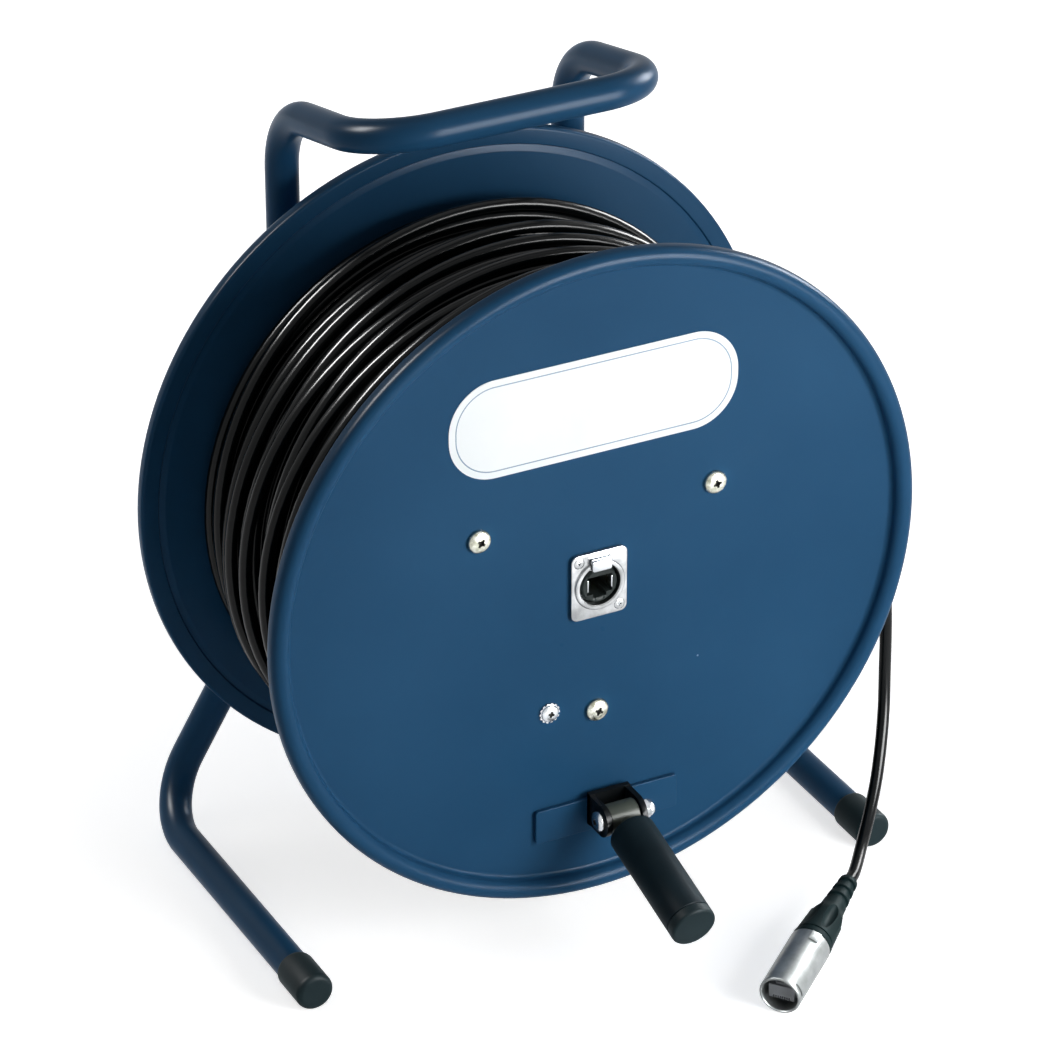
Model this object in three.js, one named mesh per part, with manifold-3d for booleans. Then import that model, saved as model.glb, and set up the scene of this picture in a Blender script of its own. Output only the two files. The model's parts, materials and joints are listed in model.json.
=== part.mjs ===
// A portable data cable drum: a steel drum on a bent tube stand, wound with network cable.
// Millimetres. The drum's axis lies along Y, its front flange faces -Y and +Z is up.
// All sizes are given about the drum's centre. The last lines set the whole reel on the floor.
import * as THREE from "three";
import { mergeVertices } from "three/addons/utils/BufferGeometryUtils.js";
import Module from "manifold-3d";

const wasm = await Module();
wasm.setup();

// Clearances
const SEAT = 0.3; // between pieces that touch or are welded
const OVERRUN = 1; // how far a cutting tool passes each face
const WELD_DISTANCE = 0.0001; // points closer than this are one

// Flanges, pressed from sheet with a rolled edge
const FLANGE_DIAMETER = 310;
const WINDING_WIDTH = 129; // between the flanges' inner faces
const SHEET = 1.5;
const RIM_WIDTH = 8.5;
const RIM_HEIGHT = 8; // inner face to the top of the rolled edge
const RIM_FILLET = 2.2;
const RIM_EDGE = 1.6; // rounding of the rim's winding side
const GROOVE_WIDTH = 1.4; // crease left by the rolling, on the winding side
const GROOVE_DEPTH = 0.7;

// Core, web and tie bolts, which hold the drum together
const CORE_DIAMETER = 145;
const CORE_WALL = 1.5;
const WEB_THICKNESS = 2;
const WEB_FRONT = 6; // from the drum's middle to the web's front face
const TIE_FROM_WALL = 5.5; // bolt's middle to the inside of the core's wall
const TIE_COUNT = 3;
const TIE_START = 270; // degrees, the lowest bolt
const TIE_RADIUS = 3;
const TIE_HEAD_RADIUS = 5.4;
const TIE_HEAD_HEIGHT = 2.6;
const TIE_THREAD_END = 3; // thread that stands past the nut
const TIE_NUT_FLATS = 10;
const TIE_NUT_HEIGHT = 5;

// Heads of the pan-head screws, as shares of their radius and height
const PAN_HEAD_SHARES = [
  [0.6, 0.925],
  [0.9, 0.7],
  [1, 0.3],
];
const RECESS_SLOT = 1.2; // width of the cross recess
const RECESS_SHARE = 0.62;
const RECESS_DEPTH_SHARE = 0.5;

// Hub, bushes and axle
const AXLE_RADIUS = 10;
const BUSH_WALL = 2.7;
const BUSH_RUNNING = 0.2; // clearance of the axle in its bushes
const BUSH_LENGTH = 16;
const BUSH_LIP_RADIUS = 16;
const BUSH_LIP = 2;
const HUB_WALL = 3.8;
const HUB_OUTREACH = 18; // hub tube past the rear flange's outer face
const HUB_COLLAR_RADIUS = 27;
const HUB_COLLAR = 4;
const WASHER_RADIUS = 15.5;
const WASHER = 1.8;
const CLIP_RING = 1.2;
const CLIP_RING_WIDTH = 4.2;
const CLIP_RING_GROOVE = 1;
const CLIP_RING_OPENING = 6;
const AXLE_TIP = 3; // axle past its retaining ring
const AXLE_SHOULDER = 4;
const AXLE_SHOULDER_RADIUS = 17;
const AXLE_THREAD_RADIUS = 8;
const AXLE_NUT_FLATS = 24;
const AXLE_NUT_HEIGHT = 11;
const AXLE_NUT_WASHER_RADIUS = 15;
const AXLE_THREAD_END = 3;

// Stand: one bent tube, a hub channel welded between its uprights, and two caps
const TUBE_DIAMETER = 15;
const TUBE_WALL = 1.5;
const FOOT_SPREAD = 140; // from the middle to each foot
const FOOT_BELOW = 11; // flanges' lowest point to the foot's centre line at its front
const FOOT_REACH = 1; // front of the cap past the front flange's rim
const UPRIGHT_SPREAD = 70;
const KNEE_DROP = 50; // where the leg turns into the upright
const SHOULDER_ABOVE = 13.5; // flanges' highest point to where the upright turns forward
const HANDLE_REACH = 92;
const HANDLE_TILT = 13; // degrees above level
const FOOT_BEND = 30;
const KNEE_BEND = 45;
const SHOULDER_BEND = 34;
const HANDLE_BEND = 31;
const BEND_STEP = 18; // degrees to each step of a bend
const CAP_DIAMETER = 17.5;
const CAP_LENGTH = 22;
const CAP_END = 3;
const CAP_ROUND = 2.4;
const CAP_SIDES = 16;
const STAND_GAP = 15; // rear flange's rim to the stand's tube
const CHANNEL_WALL = 4;
const CHANNEL_HEIGHT = 60;
const CHANNEL_LIP = 10;
const CHANNEL_BEND = 5;

// Brake: a captive knob whose stud screws a shoe against the rear flange
const BRAKE_OFFSET = 42; // from the axle, to the right
const BRAKE_STUD_RADIUS = 4;
const BRAKE_KNOB_RADIUS = 15;
const BRAKE_KNOB_LOBE = 1.6;
const BRAKE_KNOB_LOBES = 6;
const BRAKE_KNOB_HEIGHT = 16;
const BRAKE_KNOB_NECK = 4;
const BRAKE_KNOB_NECK_RADIUS = 9;
const BRAKE_KNOB_BORE = 9;
const BRAKE_KNOB_ROUND = 1.5;
const BRAKE_SHOE_RADIUS = 11;
const BRAKE_SHOE_THICKNESS = 7;
const BRAKE_SHOE_SOCKET = 4;
const BRAKE_OPEN_GAP = 1.3; // shoe to flange with the brake off

// Cable: a full drum, of which the outer layer is wound and the rest is one plain ring
const CABLE_DIAMETER = 5.6;
const WOUND_DEPTH = 49.5; // core to the outer layer's centre line
const LAYER_LEFT = 3; // the coil is built up more on its left
const LAYER_DOWN = 1.5; // and hangs a little
const LAYER_LOOPS = 18;
const LAYER_REAR_MARGIN = 1.2; // cable's side to the rear flange
const LAYER_FRONT_MARGIN = 6.5; // last loop's centre line to the front flange, where it leaves
const LAYER_WEAVE = 0.5; // how far a loop wanders along the axis
const LAYER_WEAVE_SHARE = 1.12; // wanderings per turn
const LOOP_STEPS = 24;
const LOOP_SIDES = 6;
const LEAVE_ANGLE = 30; // degrees above level, where the free end leaves the coil
const RUN_OFF = 57; // straight length from there, out of the coil's reach
const DIVE_BEND = 7.5; // bend where the layer's other end dives into the coil
const DIVE_STEPS = 4;
const POCKET_GAP = 0.6; // round the cable where it dives
const NEIGHBOUR_RUN = 60; // cable further on than this counts as a neighbour

// Free tail and its plug
const TAIL_SIDES = 8;
const TAIL_STEPS = 22;
const TAIL_ROUTE = [
  [131.305, -58, 9.88],
  [134.1, -58, 5.0],
  [138.8, -58, -4.2],
  [143.6, -58, -14.5],
  [147.2, -58, -28.0],
  [149.6, -58, -43.0],
  [150.8, -58.2, -58.5],
  [151.0, -58.8, -74.0],
  [150.0, -60.8, -91.0],
  [147.6, -65.0, -107.0],
  [143.0, -71.2, -121.0],
  [136.6, -78.8, -133.5],
  [128.2, -87.6, -144.2],
  [118.6, -97.6, -151.8],
  [106.19, -111.48, -156.19],
  [101.53, -115.21, -156.77],
];
const PLUG_NOSE = [35.7, -168, -165];
const PLUG_TAIL = [101.3, -115.4, -156.8];
const SHELL_DIAMETER = 19;
const SHELL_WALL = 1.3;
const SHELL_LENGTH = 42;
const SHELL_CHAMFER = 0.8;
const SHELL_SLOT_WIDTH = 3.2; // slot that takes the socket's latch
const SHELL_SLOT_LENGTH = 4.5;
const SHELL_SLOT_FROM_NOSE = 4;
const SHELL_KEY_WIDTH = 4.4; // raised key that finds the socket's keyway
const SHELL_KEY_LENGTH = 7.5;
const SHELL_KEY_PROUD = 0.8;
const SHELL_KEY_FROM_REAR = 3.5;
const BOOT_DIAMETER = 17;
const BOOT_COLLAR = 2.4; // plain band against the shell
const BOOT_COLLAR_GROOVE = 0.8; // width and depth of the groove behind the band
const BOOT_STRAIGHT = 11;
const BOOT_FLUTES = 6;
const BOOT_FLUTE = 1.3; // depth of a flute halfway
// Places along the flare, with the share of the way from the waist to the full size.
const BOOT_FLARE_SHARES = [
  [0, 1],
  [0.35, 0.8],
  [0.7, 0.3],
  [1, 0],
];
const BOOT_WAIST = 11.2;
const BOOT_TAIL = 8.4;
const BOOT_NECK = 20; // ribbed neck at the cable's end
const BOOT_GROOVE = 0.9;
const BOOT_GROOVES = 3;
const BOOT_WALL = 3;
const CHUCK_LENGTH = 12;
const CHUCK_WALL = 3.4;
const CARRIER_LENGTH = 16;
const CARRIER_BACK = 12; // carrier's front behind the shell's nose
const JACK_WIDTH = 11.6; // network connector's body
const JACK_HEIGHT = 7;
const JACK_LENGTH = 9.5;
const JACK_LATCH_WIDTH = 6;
const JACK_LATCH_HEIGHT = 1.3;

// Panel socket in the front flange
const SOCKET_DROP = 2; // below the drum's axis
const PLATE_WIDTH = 27;
const PLATE_HEIGHT = 32;
const PLATE_THICKNESS = 1.8;
const PLATE_CORNER = 3.2;
const BOSS_RADIUS = 12.2;
const BOSS_HEIGHT = 1.2;
const BARREL_RADIUS = 11.8;
const BARREL_DEPTH = 23;
const MOUTH_RADIUS = 9.8;
const PLATE_SCREW_X = 9.8;
const PLATE_SCREW_Z = 12.3;
const PLATE_SCREW_RADIUS = 1.5;
const PLATE_SCREW_HEAD = 2.3;
const PLATE_SCREW_LENGTH = 9;
const INSERT_SETBACK = 0.8;
const INSERT_NOSE_RADIUS = 8.4; // front of the insert, with the plug's way round it
const INSERT_NOSE = 3.5;
const INSERT_END = 3; // insert past the barrel's rear end
const CAVITY_WIDTH = 12.2;
const CAVITY_HEIGHT = 8.4;
const CAVITY_DEPTH = 15;
const CAVITY_KEY_WIDTH = 6.4;
const CAVITY_KEY_HEIGHT = 1.8;
const LATCH_WIDTH = 9.4;
const LATCH_HEIGHT = 5.2;
const LATCH_PROUD = 1.5;
const LATCH_DEPTH = 5;
const LATCH_TRAVEL = 1.2;
const LATCH_TOP = 13; // above the socket's centre
const LATCH_STEM_TOP = 10.5;
const LATCH_NOTCH = 0.8; // in each lower corner

// Lead inside the drum, from the coil to the socket, and the clip that holds it
const LEAD_HOLE_RADIUS = 4.2;
// The second number is the distance behind the front flange.
const LEAD_ROUTE = [
  [-50.8, 14.5, -50.8],
  [-47.0, 14.3, -47.0],
  [-41.5, 12.3, -44.6],
  [-34.0, 9.5, -46.6],
  [-26.0, 7.9, -49.9],
  [-20.1, 7.5, -52.3],
  [-13.5, 8.3, -54.2],
  [-6.0, 11.9, -53.6],
  [0.5, 17.9, -48.6],
  [4.2, 24.9, -40.0],
  [5.4, 31.5, -29.0],
  [4.4, 36.9, -17.4],
  [2.0, 39.9, -8.0],
  [0.4, 38.1, -3.2],
  [0, 33.0, -2.0],
  [0, 25.1, -2.0],
];
const LEAD_CLIPPED = 5; // the point that lies in the clip
const LEAD_STEPS = 24;
const CLIP_X = -23.2;
const CLIP_Z = -60.8;
const CLIP_SCREW_RADIUS = 2;
const CLIP_SCREW_HEAD = 4.1;
const CLIP_SCREW_HEIGHT = 2.2;
const CLIP_SCREW_LENGTH = 7;
const CLIP_WALL = 1.2;
const CLIP_WIDTH = 8;
const CLIP_PITCH = 9; // screw to the cable that the clip holds
const CLIP_NUT_FLATS = 7;
const CLIP_NUT_HEIGHT = 3;

// Crank: a strip and a clevis on the front flange, and a folding handle with a turning grip
const CRANK_X = 4.5;
const PIVOT_LIFT = 3.9; // pivot above the strip's middle
const PIVOT_HEIGHT = 14.5; // flange's face out to the pivot
const CRANK_DROOP = 15.7; // degrees below level when it is folded out
const STRIP_WIDTH = 70;
const STRIP_HEIGHT = 16.5;
const STRIP_THICKNESS = 2;
const STRIP_FROM_EDGE = 37.8; // flange's edge to the strip's middle
const STRIP_CORNER = 1.5;
const EAR_THICKNESS = 2.5;
const EAR_GAP = 15;
const EAR_RADIUS = 7.5;
const EAR_FOOT = 16;
const CLEVIS_BASE = 2.5;
const PIVOT_RADIUS = 3;
const PIVOT_HEAD_RADIUS = 4.6;
const PIVOT_HEAD = 2.4;
const PIVOT_NUT_FLATS = 8;
const PIVOT_NUT = 3.4;
const PIVOT_DOME_RADIUS = 3.9; // closed dome of the cap nut
const PIVOT_DOME = 3.2;
// The dome's outline, as shares of its radius and height
const DOME_SHARES = [
  [1, 0],
  [0.87, 0.5],
  [0.5, 0.87],
  [0, 1],
];
const KNUCKLE_RADIUS = 6.4;
const SPINDLE_RADIUS = 4;
const GRIP_START = 10; // from the pivot
const GRIP_DIAMETER = 21;
const GRIP_END = 70; // from the pivot to the end of its cap
const GRIP_CAP = 5;
const GRIP_CAP_ROUND = 2.6;
const GRIP_ROUND = 1.6;
const GRIP_POCKET_RADIUS = 7.4;
const GRIP_POCKET = 9; // room for the spindle's washer and peened end
const SPINDLE_WASHER_RADIUS = 6.6;
const SPINDLE_WASHER = 1.6;
const SPINDLE_END = 2.4;
const GRIP_RUNNING = 0.3;

// Fineness of the round shapes
const LARGE_ROUND = 44;
const CORE_ROUND = 36;
const MEDIUM_ROUND = 20;
const SMALL_ROUND = 12;
const HANDLE_ROUND = 18; // grip, cap and boot
const STAND_SIDES = 12;
const STAND_BORE_SIDES = 6;
const RIM_ROUND = 4; // steps over the rolled rim

const degrees = THREE.MathUtils.degToRad;

const FLANGE_RADIUS = FLANGE_DIAMETER / 2;
const INNER_FACE = WINDING_WIDTH / 2;
const OUTER_FACE = INNER_FACE + SHEET;
const RIM_TOP = INNER_FACE + RIM_HEIGHT;
const STAND_Y = RIM_TOP + STAND_GAP + TUBE_DIAMETER / 2;
const CORE_RADIUS = CORE_DIAMETER / 2;
const TIE_CIRCLE_RADIUS = CORE_RADIUS - CORE_WALL - TIE_FROM_WALL;
const LAYER_RADIUS = CORE_RADIUS + WOUND_DEPTH;
const FOOT_DROP = FLANGE_RADIUS + FOOT_BELOW;
const FOOT_FRONT = RIM_TOP + FOOT_REACH;
const SHOULDER_RISE = FLANGE_RADIUS + SHOULDER_ABOVE;
const STRIP_DROP = FLANGE_RADIUS - STRIP_FROM_EDGE;
const PIVOT_DROP = STRIP_DROP - PIVOT_LIFT;

const finish = (color, roughness, metalness) =>
  new THREE.MeshStandardMaterial({ color, roughness, metalness });
const bluePaint = () => finish(0x2a4c70, 0.42, 0.25);
const darkPaint = () => finish(0x14222d, 0.45, 0.25);
const zincPlate = () => finish(0xa9abac, 0.34, 0.9);
const yellowZinc = () => finish(0xb3ab84, 0.36, 0.85);
const bareSteel = () => finish(0x8d9093, 0.4, 0.9);
const bronze = () => finish(0x9a7a48, 0.45, 0.8);
const blackPlastic = () => finish(0x14191b, 0.5, 0);
const blackRubber = () => finish(0x1f2a2d, 0.7, 0);
const cableJacket = () => finish(0x06090b, 0.28, 0);

// A closed geometry as a solid that can be joined and cut.
function solidOf(geometry) {
  const bare = geometry.index ? geometry.toNonIndexed() : geometry.clone();
  bare.deleteAttribute("normal");
  bare.deleteAttribute("uv");
  const merged = mergeVertices(bare, WELD_DISTANCE);
  return new wasm.Manifold(
    new wasm.Mesh({
      numProp: 3,
      vertProperties: merged.attributes.position.array,
      triVerts: new Uint32Array(merged.index.array),
    }),
  );
}

function geometryOf(solid) {
  const { vertProperties, triVerts } = solid.getMesh();
  const geometry = new THREE.BufferGeometry();
  geometry.setAttribute("position", new THREE.BufferAttribute(new Float32Array(vertProperties), 3));
  geometry.setIndex(new THREE.BufferAttribute(new Uint32Array(triVerts), 1));
  const faceted = geometry.toNonIndexed();
  faceted.computeVertexNormals();
  return faceted;
}

const cut = (body, ...tools) =>
  geometryOf(tools.reduce((left, tool) => left.subtract(solidOf(tool)), solidOf(body)));

const join = (...pieces) =>
  geometryOf(pieces.map(solidOf).reduce((all, piece) => all.add(piece)));

// Turns a profile of [radius, y] points about the Y axis, whichever way round it is drawn.
function revolve(profile, segments, start = 0) {
  const points = profile.map(([radius, y]) => new THREE.Vector2(radius, y));
  const last = points[points.length - 1];
  if (points[0].x > 0 || last.x > 0) points.push(points[0].clone());
  if (THREE.ShapeUtils.isClockWise(points)) points.reverse();
  return new THREE.LatheGeometry(points, segments, start);
}

// Points of an arc in [radius, y], from one angle to another in degrees.
function arc(centreRadius, centreY, radius, from, to, steps) {
  return Array.from({ length: steps + 1 }, (_, i) => {
    const angle = degrees(from + ((to - from) * i) / steps);
    return [centreRadius + radius * Math.cos(angle), centreY + radius * Math.sin(angle)];
  });
}

// A cylinder about Y from one height to another.
function cylinder(radius, from, to, segments = SMALL_ROUND) {
  const geometry = new THREE.CylinderGeometry(radius, radius, Math.abs(to - from), segments);
  return geometry.translate(0, (from + to) / 2, 0);
}

function hexPrism(flats, from, to) {
  return cylinder(flats / Math.sqrt(3), from, to, 6);
}

function box(width, depth, height, x = 0, y = 0, z = 0) {
  return new THREE.BoxGeometry(width, depth, height).translate(x, y, z);
}

// An outline in X and Z, extruded along Y from one height to another.
function slab(outline, from, to, curveSegments = 2, bevel = 0) {
  const geometry = new THREE.ExtrudeGeometry(outline, {
    depth: Math.abs(to - from) - 2 * bevel,
    curveSegments,
    bevelEnabled: bevel > 0,
    bevelThickness: bevel,
    bevelSize: bevel,
    bevelOffset: -bevel,
    bevelSegments: 1,
  });
  return geometry.rotateX(Math.PI / 2).translate(0, Math.max(from, to) - bevel, 0);
}

function roundedRectangle(width, height, corner) {
  const x = width / 2;
  const z = height / 2;
  const shape = new THREE.Shape();
  shape.moveTo(-x + corner, -z);
  shape.lineTo(x - corner, -z);
  shape.absarc(x - corner, -z + corner, corner, -Math.PI / 2, 0, false);
  shape.lineTo(x, z - corner);
  shape.absarc(x - corner, z - corner, corner, 0, Math.PI / 2, false);
  shape.lineTo(-x + corner, z);
  shape.absarc(-x + corner, z - corner, corner, Math.PI / 2, Math.PI, false);
  shape.lineTo(-x, -z + corner);
  shape.absarc(-x + corner, -z + corner, corner, Math.PI, Math.PI * 1.5, false);
  return shape;
}

function circle(radius, start = 0) {
  const shape = new THREE.Shape();
  shape.absarc(0, 0, radius, start, start + Math.PI * 2, false);
  return shape;
}

// A curve through given stations, one sweep step to each, so that only the bends are divided.
class StationCurve extends THREE.Curve {
  constructor(stations) {
    super();
    this.stations = stations;
  }

  getPoint(t, target = new THREE.Vector3()) {
    const place = t * (this.stations.length - 1);
    const index = Math.min(Math.floor(place), this.stations.length - 2);
    return target.lerpVectors(this.stations[index], this.stations[index + 1], place - index);
  }

  getUtoTmapping(u) {
    return u;
  }
}

// Rounds each inner corner of a path with an arc of its own radius.
function bentPath(corners, radii, stepAngle) {
  const stations = [corners[0]];
  corners.slice(1, -1).forEach((corner, i) => {
    const back = corners[i].clone().sub(corner).normalize();
    const ahead = corners[i + 2].clone().sub(corner).normalize();
    const half = back.angleTo(ahead) / 2;
    const turn = Math.PI - 2 * half;
    const middle = back.clone().add(ahead).normalize();
    const centre = corner.clone().addScaledVector(middle, radii[i] / Math.sin(half));
    const from = corner.clone().addScaledVector(back, radii[i] / Math.tan(half)).sub(centre);
    const to = corner.clone().addScaledVector(ahead, radii[i] / Math.tan(half)).sub(centre);
    const steps = Math.ceil(turn / stepAngle);
    for (let k = 0; k <= steps; k++) {
      const angle = (turn * k) / steps;
      stations.push(
        centre
          .clone()
          .addScaledVector(from, Math.sin(turn - angle) / Math.sin(turn))
          .addScaledVector(to, Math.sin(angle) / Math.sin(turn)),
      );
    }
  });
  stations.push(corners[corners.length - 1]);
  return stations;
}

// Carries a round section of so many sides along a curve.
function sweep(section, curve, steps, sides) {
  return new THREE.ExtrudeGeometry(section, {
    extrudePath: curve,
    steps,
    curveSegments: sides / 2,
    bevelEnabled: false,
  });
}

function routeCurve(route) {
  return new THREE.CatmullRomCurve3(
    route.map((point) => new THREE.Vector3(...point)),
    false,
    "centripetal",
  );
}

// A closed tube with rings carried along the points without twist.
function tubeThrough(points, radius, sides) {
  const tangents = points.map((point, i) => {
    const before = points[Math.max(i - 1, 0)];
    const after = points[Math.min(i + 1, points.length - 1)];
    return after.clone().sub(before).normalize();
  });
  const normal = new THREE.Vector3(0, 1, 0);
  const positions = [];
  points.forEach((point, i) => {
    normal.addScaledVector(tangents[i], -normal.dot(tangents[i])).normalize();
    const side = tangents[i].clone().cross(normal);
    for (let k = 0; k < sides; k++) {
      const angle = (2 * Math.PI * k) / sides;
      const ring = point
        .clone()
        .addScaledVector(normal, radius * Math.cos(angle))
        .addScaledVector(side, radius * Math.sin(angle));
      positions.push(ring.x, ring.y, ring.z);
    }
  });
  const index = [];
  for (let i = 0; i < points.length - 1; i++) {
    for (let k = 0; k < sides; k++) {
      const a = i * sides + k;
      const b = i * sides + ((k + 1) % sides);
      index.push(a, b, a + sides, b, b + sides, a + sides);
    }
  }
  const lastRing = (points.length - 1) * sides;
  for (let k = 1; k < sides - 1; k++) {
    index.push(0, k + 1, k);
    index.push(lastRing, lastRing + k, lastRing + k + 1);
  }
  const geometry = new THREE.BufferGeometry();
  geometry.setAttribute("position", new THREE.Float32BufferAttribute(positions, 3));
  geometry.setIndex(index);
  const faceted = geometry.toNonIndexed();
  faceted.computeVertexNormals();
  return faceted;
}

// The least gap between two stretches of a tube that are further apart along it than a bend.
function leastGap(points, diameter, apart) {
  let least = Infinity;
  const run = [0];
  for (let i = 1; i < points.length; i++) run.push(run[i - 1] + points[i].distanceTo(points[i - 1]));
  for (let i = 0; i < points.length; i++) {
    for (let j = i + 1; j < points.length; j++) {
      if (run[j] - run[i] > apart) least = Math.min(least, points[i].distanceTo(points[j]) - diameter);
    }
  }
  return least;
}

function piece(name, geometry, material, parent) {
  const mesh = new THREE.Mesh(geometry, material);
  mesh.name = name;
  parent.add(mesh);
  return mesh;
}

// A screw about Y: head towards -Y with a cross recess, underside of the head at zero.
function panScrew(radius, headRadius, headHeight, length) {
  const body = revolve(
    [
      [0, -headHeight],
      ...PAN_HEAD_SHARES.map(([out, up]) => [headRadius * out, -headHeight * up]),
      [headRadius, 0],
      [radius, 0],
      [radius, length],
      [0, length],
    ],
    SMALL_ROUND,
  );
  const reach = 2 * headRadius * RECESS_SHARE;
  const depth = 2 * headHeight * RECESS_DEPTH_SHARE;
  return cut(
    body,
    box(reach, depth, RECESS_SLOT, 0, -headHeight),
    box(RECESS_SLOT, depth, reach, 0, -headHeight),
  );
}

const tieAngles = Array.from({ length: TIE_COUNT }, (_, i) => degrees(TIE_START + (i * 360) / TIE_COUNT));
const tiePlaces = tieAngles.map((angle) => [
  TIE_CIRCLE_RADIUS * Math.cos(angle),
  TIE_CIRCLE_RADIUS * Math.sin(angle),
]);
const holesAt = (places, radius, from, to) =>
  places.map(([x, z]) => cylinder(radius, from, to, SMALL_ROUND).translate(x, 0, z));

// The flange's profile, as [radius, distance outwards from its inner face].
function flangeProfile(bore) {
  const roll = RIM_WIDTH / 2;
  const groove = FLANGE_RADIUS - RIM_WIDTH;
  return [
    [bore, 0],
    [groove - GROOVE_WIDTH / 2, 0],
    [groove, GROOVE_DEPTH],
    [groove + GROOVE_WIDTH / 2, 0],
    [FLANGE_RADIUS - RIM_EDGE, 0],
    [FLANGE_RADIUS, RIM_EDGE],
    ...arc(FLANGE_RADIUS - roll, RIM_HEIGHT - roll, roll, 0, 180, RIM_ROUND),
    ...arc(FLANGE_RADIUS - RIM_WIDTH - RIM_FILLET, SHEET + RIM_FILLET, RIM_FILLET, 0, -90, 2),
    [bore, SHEET],
  ];
}

function buildFlanges(drum) {
  const front = revolve(
    flangeProfile(0).map(([radius, out]) => [radius, -INNER_FACE - out]),
    LARGE_ROUND,
  );
  const through = [-INNER_FACE + OVERRUN, -OUTER_FACE - OVERRUN];
  piece(
    "front_flange",
    cut(
      front,
      cylinder(BARREL_RADIUS + SEAT, ...through, MEDIUM_ROUND).translate(0, 0, -SOCKET_DROP),
      ...holesAt(tiePlaces, TIE_RADIUS + SEAT, ...through),
      ...holesAt([[CLIP_X, CLIP_Z]], CLIP_SCREW_RADIUS + SEAT, ...through),
      ...holesAt(plateScrewPlaces(), PLATE_SCREW_RADIUS + SEAT, ...through),
    ),
    bluePaint(),
    drum,
  );
  const rear = revolve(
    flangeProfile(hubRadius() + SEAT).map(([radius, out]) => [radius, INNER_FACE + out]),
    LARGE_ROUND,
  );
  piece(
    "rear_flange",
    cut(rear, ...holesAt(tiePlaces, TIE_RADIUS + SEAT, INNER_FACE - OVERRUN, OUTER_FACE + OVERRUN)),
    bluePaint(),
    drum,
  );
}

function buildCore(drum) {
  const end = INNER_FACE - SEAT;
  const shell = revolve(
    [
      [CORE_RADIUS - CORE_WALL, -end],
      [CORE_RADIUS, -end],
      [CORE_RADIUS, end],
      [CORE_RADIUS - CORE_WALL, end],
    ],
    CORE_ROUND,
  );
  const [leadX, leadBehind, leadZ] = LEAD_ROUTE[0];
  const leadY = leadBehind - INNER_FACE;
  const throughWall = 2 * (CORE_WALL + OVERRUN);
  const leadHole = new THREE.CylinderGeometry(LEAD_HOLE_RADIUS, LEAD_HOLE_RADIUS, throughWall, SMALL_ROUND)
    .rotateX(Math.PI / 2)
    .rotateY(Math.atan2(leadX, leadZ))
    .translate(leadX, leadY, leadZ);
  piece("drum_core", cut(shell, leadHole), bluePaint(), drum);
  const web = revolve(
    [
      [hubRadius() + SEAT, WEB_FRONT],
      [CORE_RADIUS - CORE_WALL - SEAT, WEB_FRONT],
      [CORE_RADIUS - CORE_WALL - SEAT, WEB_FRONT + WEB_THICKNESS],
      [hubRadius() + SEAT, WEB_FRONT + WEB_THICKNESS],
    ],
    MEDIUM_ROUND,
  );
  piece(
    "core_web",
    cut(
      web,
      ...holesAt(tiePlaces, TIE_RADIUS + SEAT, WEB_FRONT - OVERRUN, WEB_FRONT + WEB_THICKNESS + OVERRUN),
    ),
    bluePaint(),
    drum,
  );
  tiePlaces.forEach(([x, z], i) => {
    const nutFace = OUTER_FACE + SEAT;
    const length = 2 * OUTER_FACE + 2 * SEAT + TIE_NUT_HEIGHT + TIE_THREAD_END;
    const bolt = panScrew(TIE_RADIUS, TIE_HEAD_RADIUS, TIE_HEAD_HEIGHT, length);
    piece("tie_bolt_" + (i + 1), bolt.translate(x, -OUTER_FACE - SEAT, z), yellowZinc(), drum);
    const nut = cut(
      hexPrism(TIE_NUT_FLATS, nutFace, nutFace + TIE_NUT_HEIGHT),
      cylinder(TIE_RADIUS + SEAT, nutFace - OVERRUN, nutFace + TIE_NUT_HEIGHT + OVERRUN),
    );
    piece("tie_nut_" + (i + 1), nut.translate(x, 0, z), yellowZinc(), drum);
  });
}

function hubBore() {
  return AXLE_RADIUS + BUSH_RUNNING + BUSH_WALL + SEAT;
}

function hubRadius() {
  return hubBore() + HUB_WALL;
}

// Everything on the axle, as distances along Y, from the inner end of the hub to the nut.
function axleStations() {
  const hubFront = 0;
  const hubRear = OUTER_FACE + HUB_OUTREACH;
  const frontLip = hubFront - SEAT - BUSH_LIP;
  const frontWasher = frontLip - SEAT - WASHER;
  const ringFront = frontWasher - SEAT - CLIP_RING;
  const rearLip = hubRear + SEAT + BUSH_LIP;
  const rearWasher = rearLip + SEAT + WASHER;
  const channelFront = STAND_Y - CHANNEL_WALL / 2;
  const channelRear = STAND_Y + CHANNEL_WALL / 2;
  const nutFront = channelRear + 2 * SEAT + WASHER;
  return {
    hubFront,
    hubRear,
    frontLip,
    frontWasher,
    ringFront,
    rearLip,
    rearWasher,
    channelFront,
    channelRear,
    nutFront,
    nutRear: nutFront + AXLE_NUT_HEIGHT,
  };
}

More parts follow.
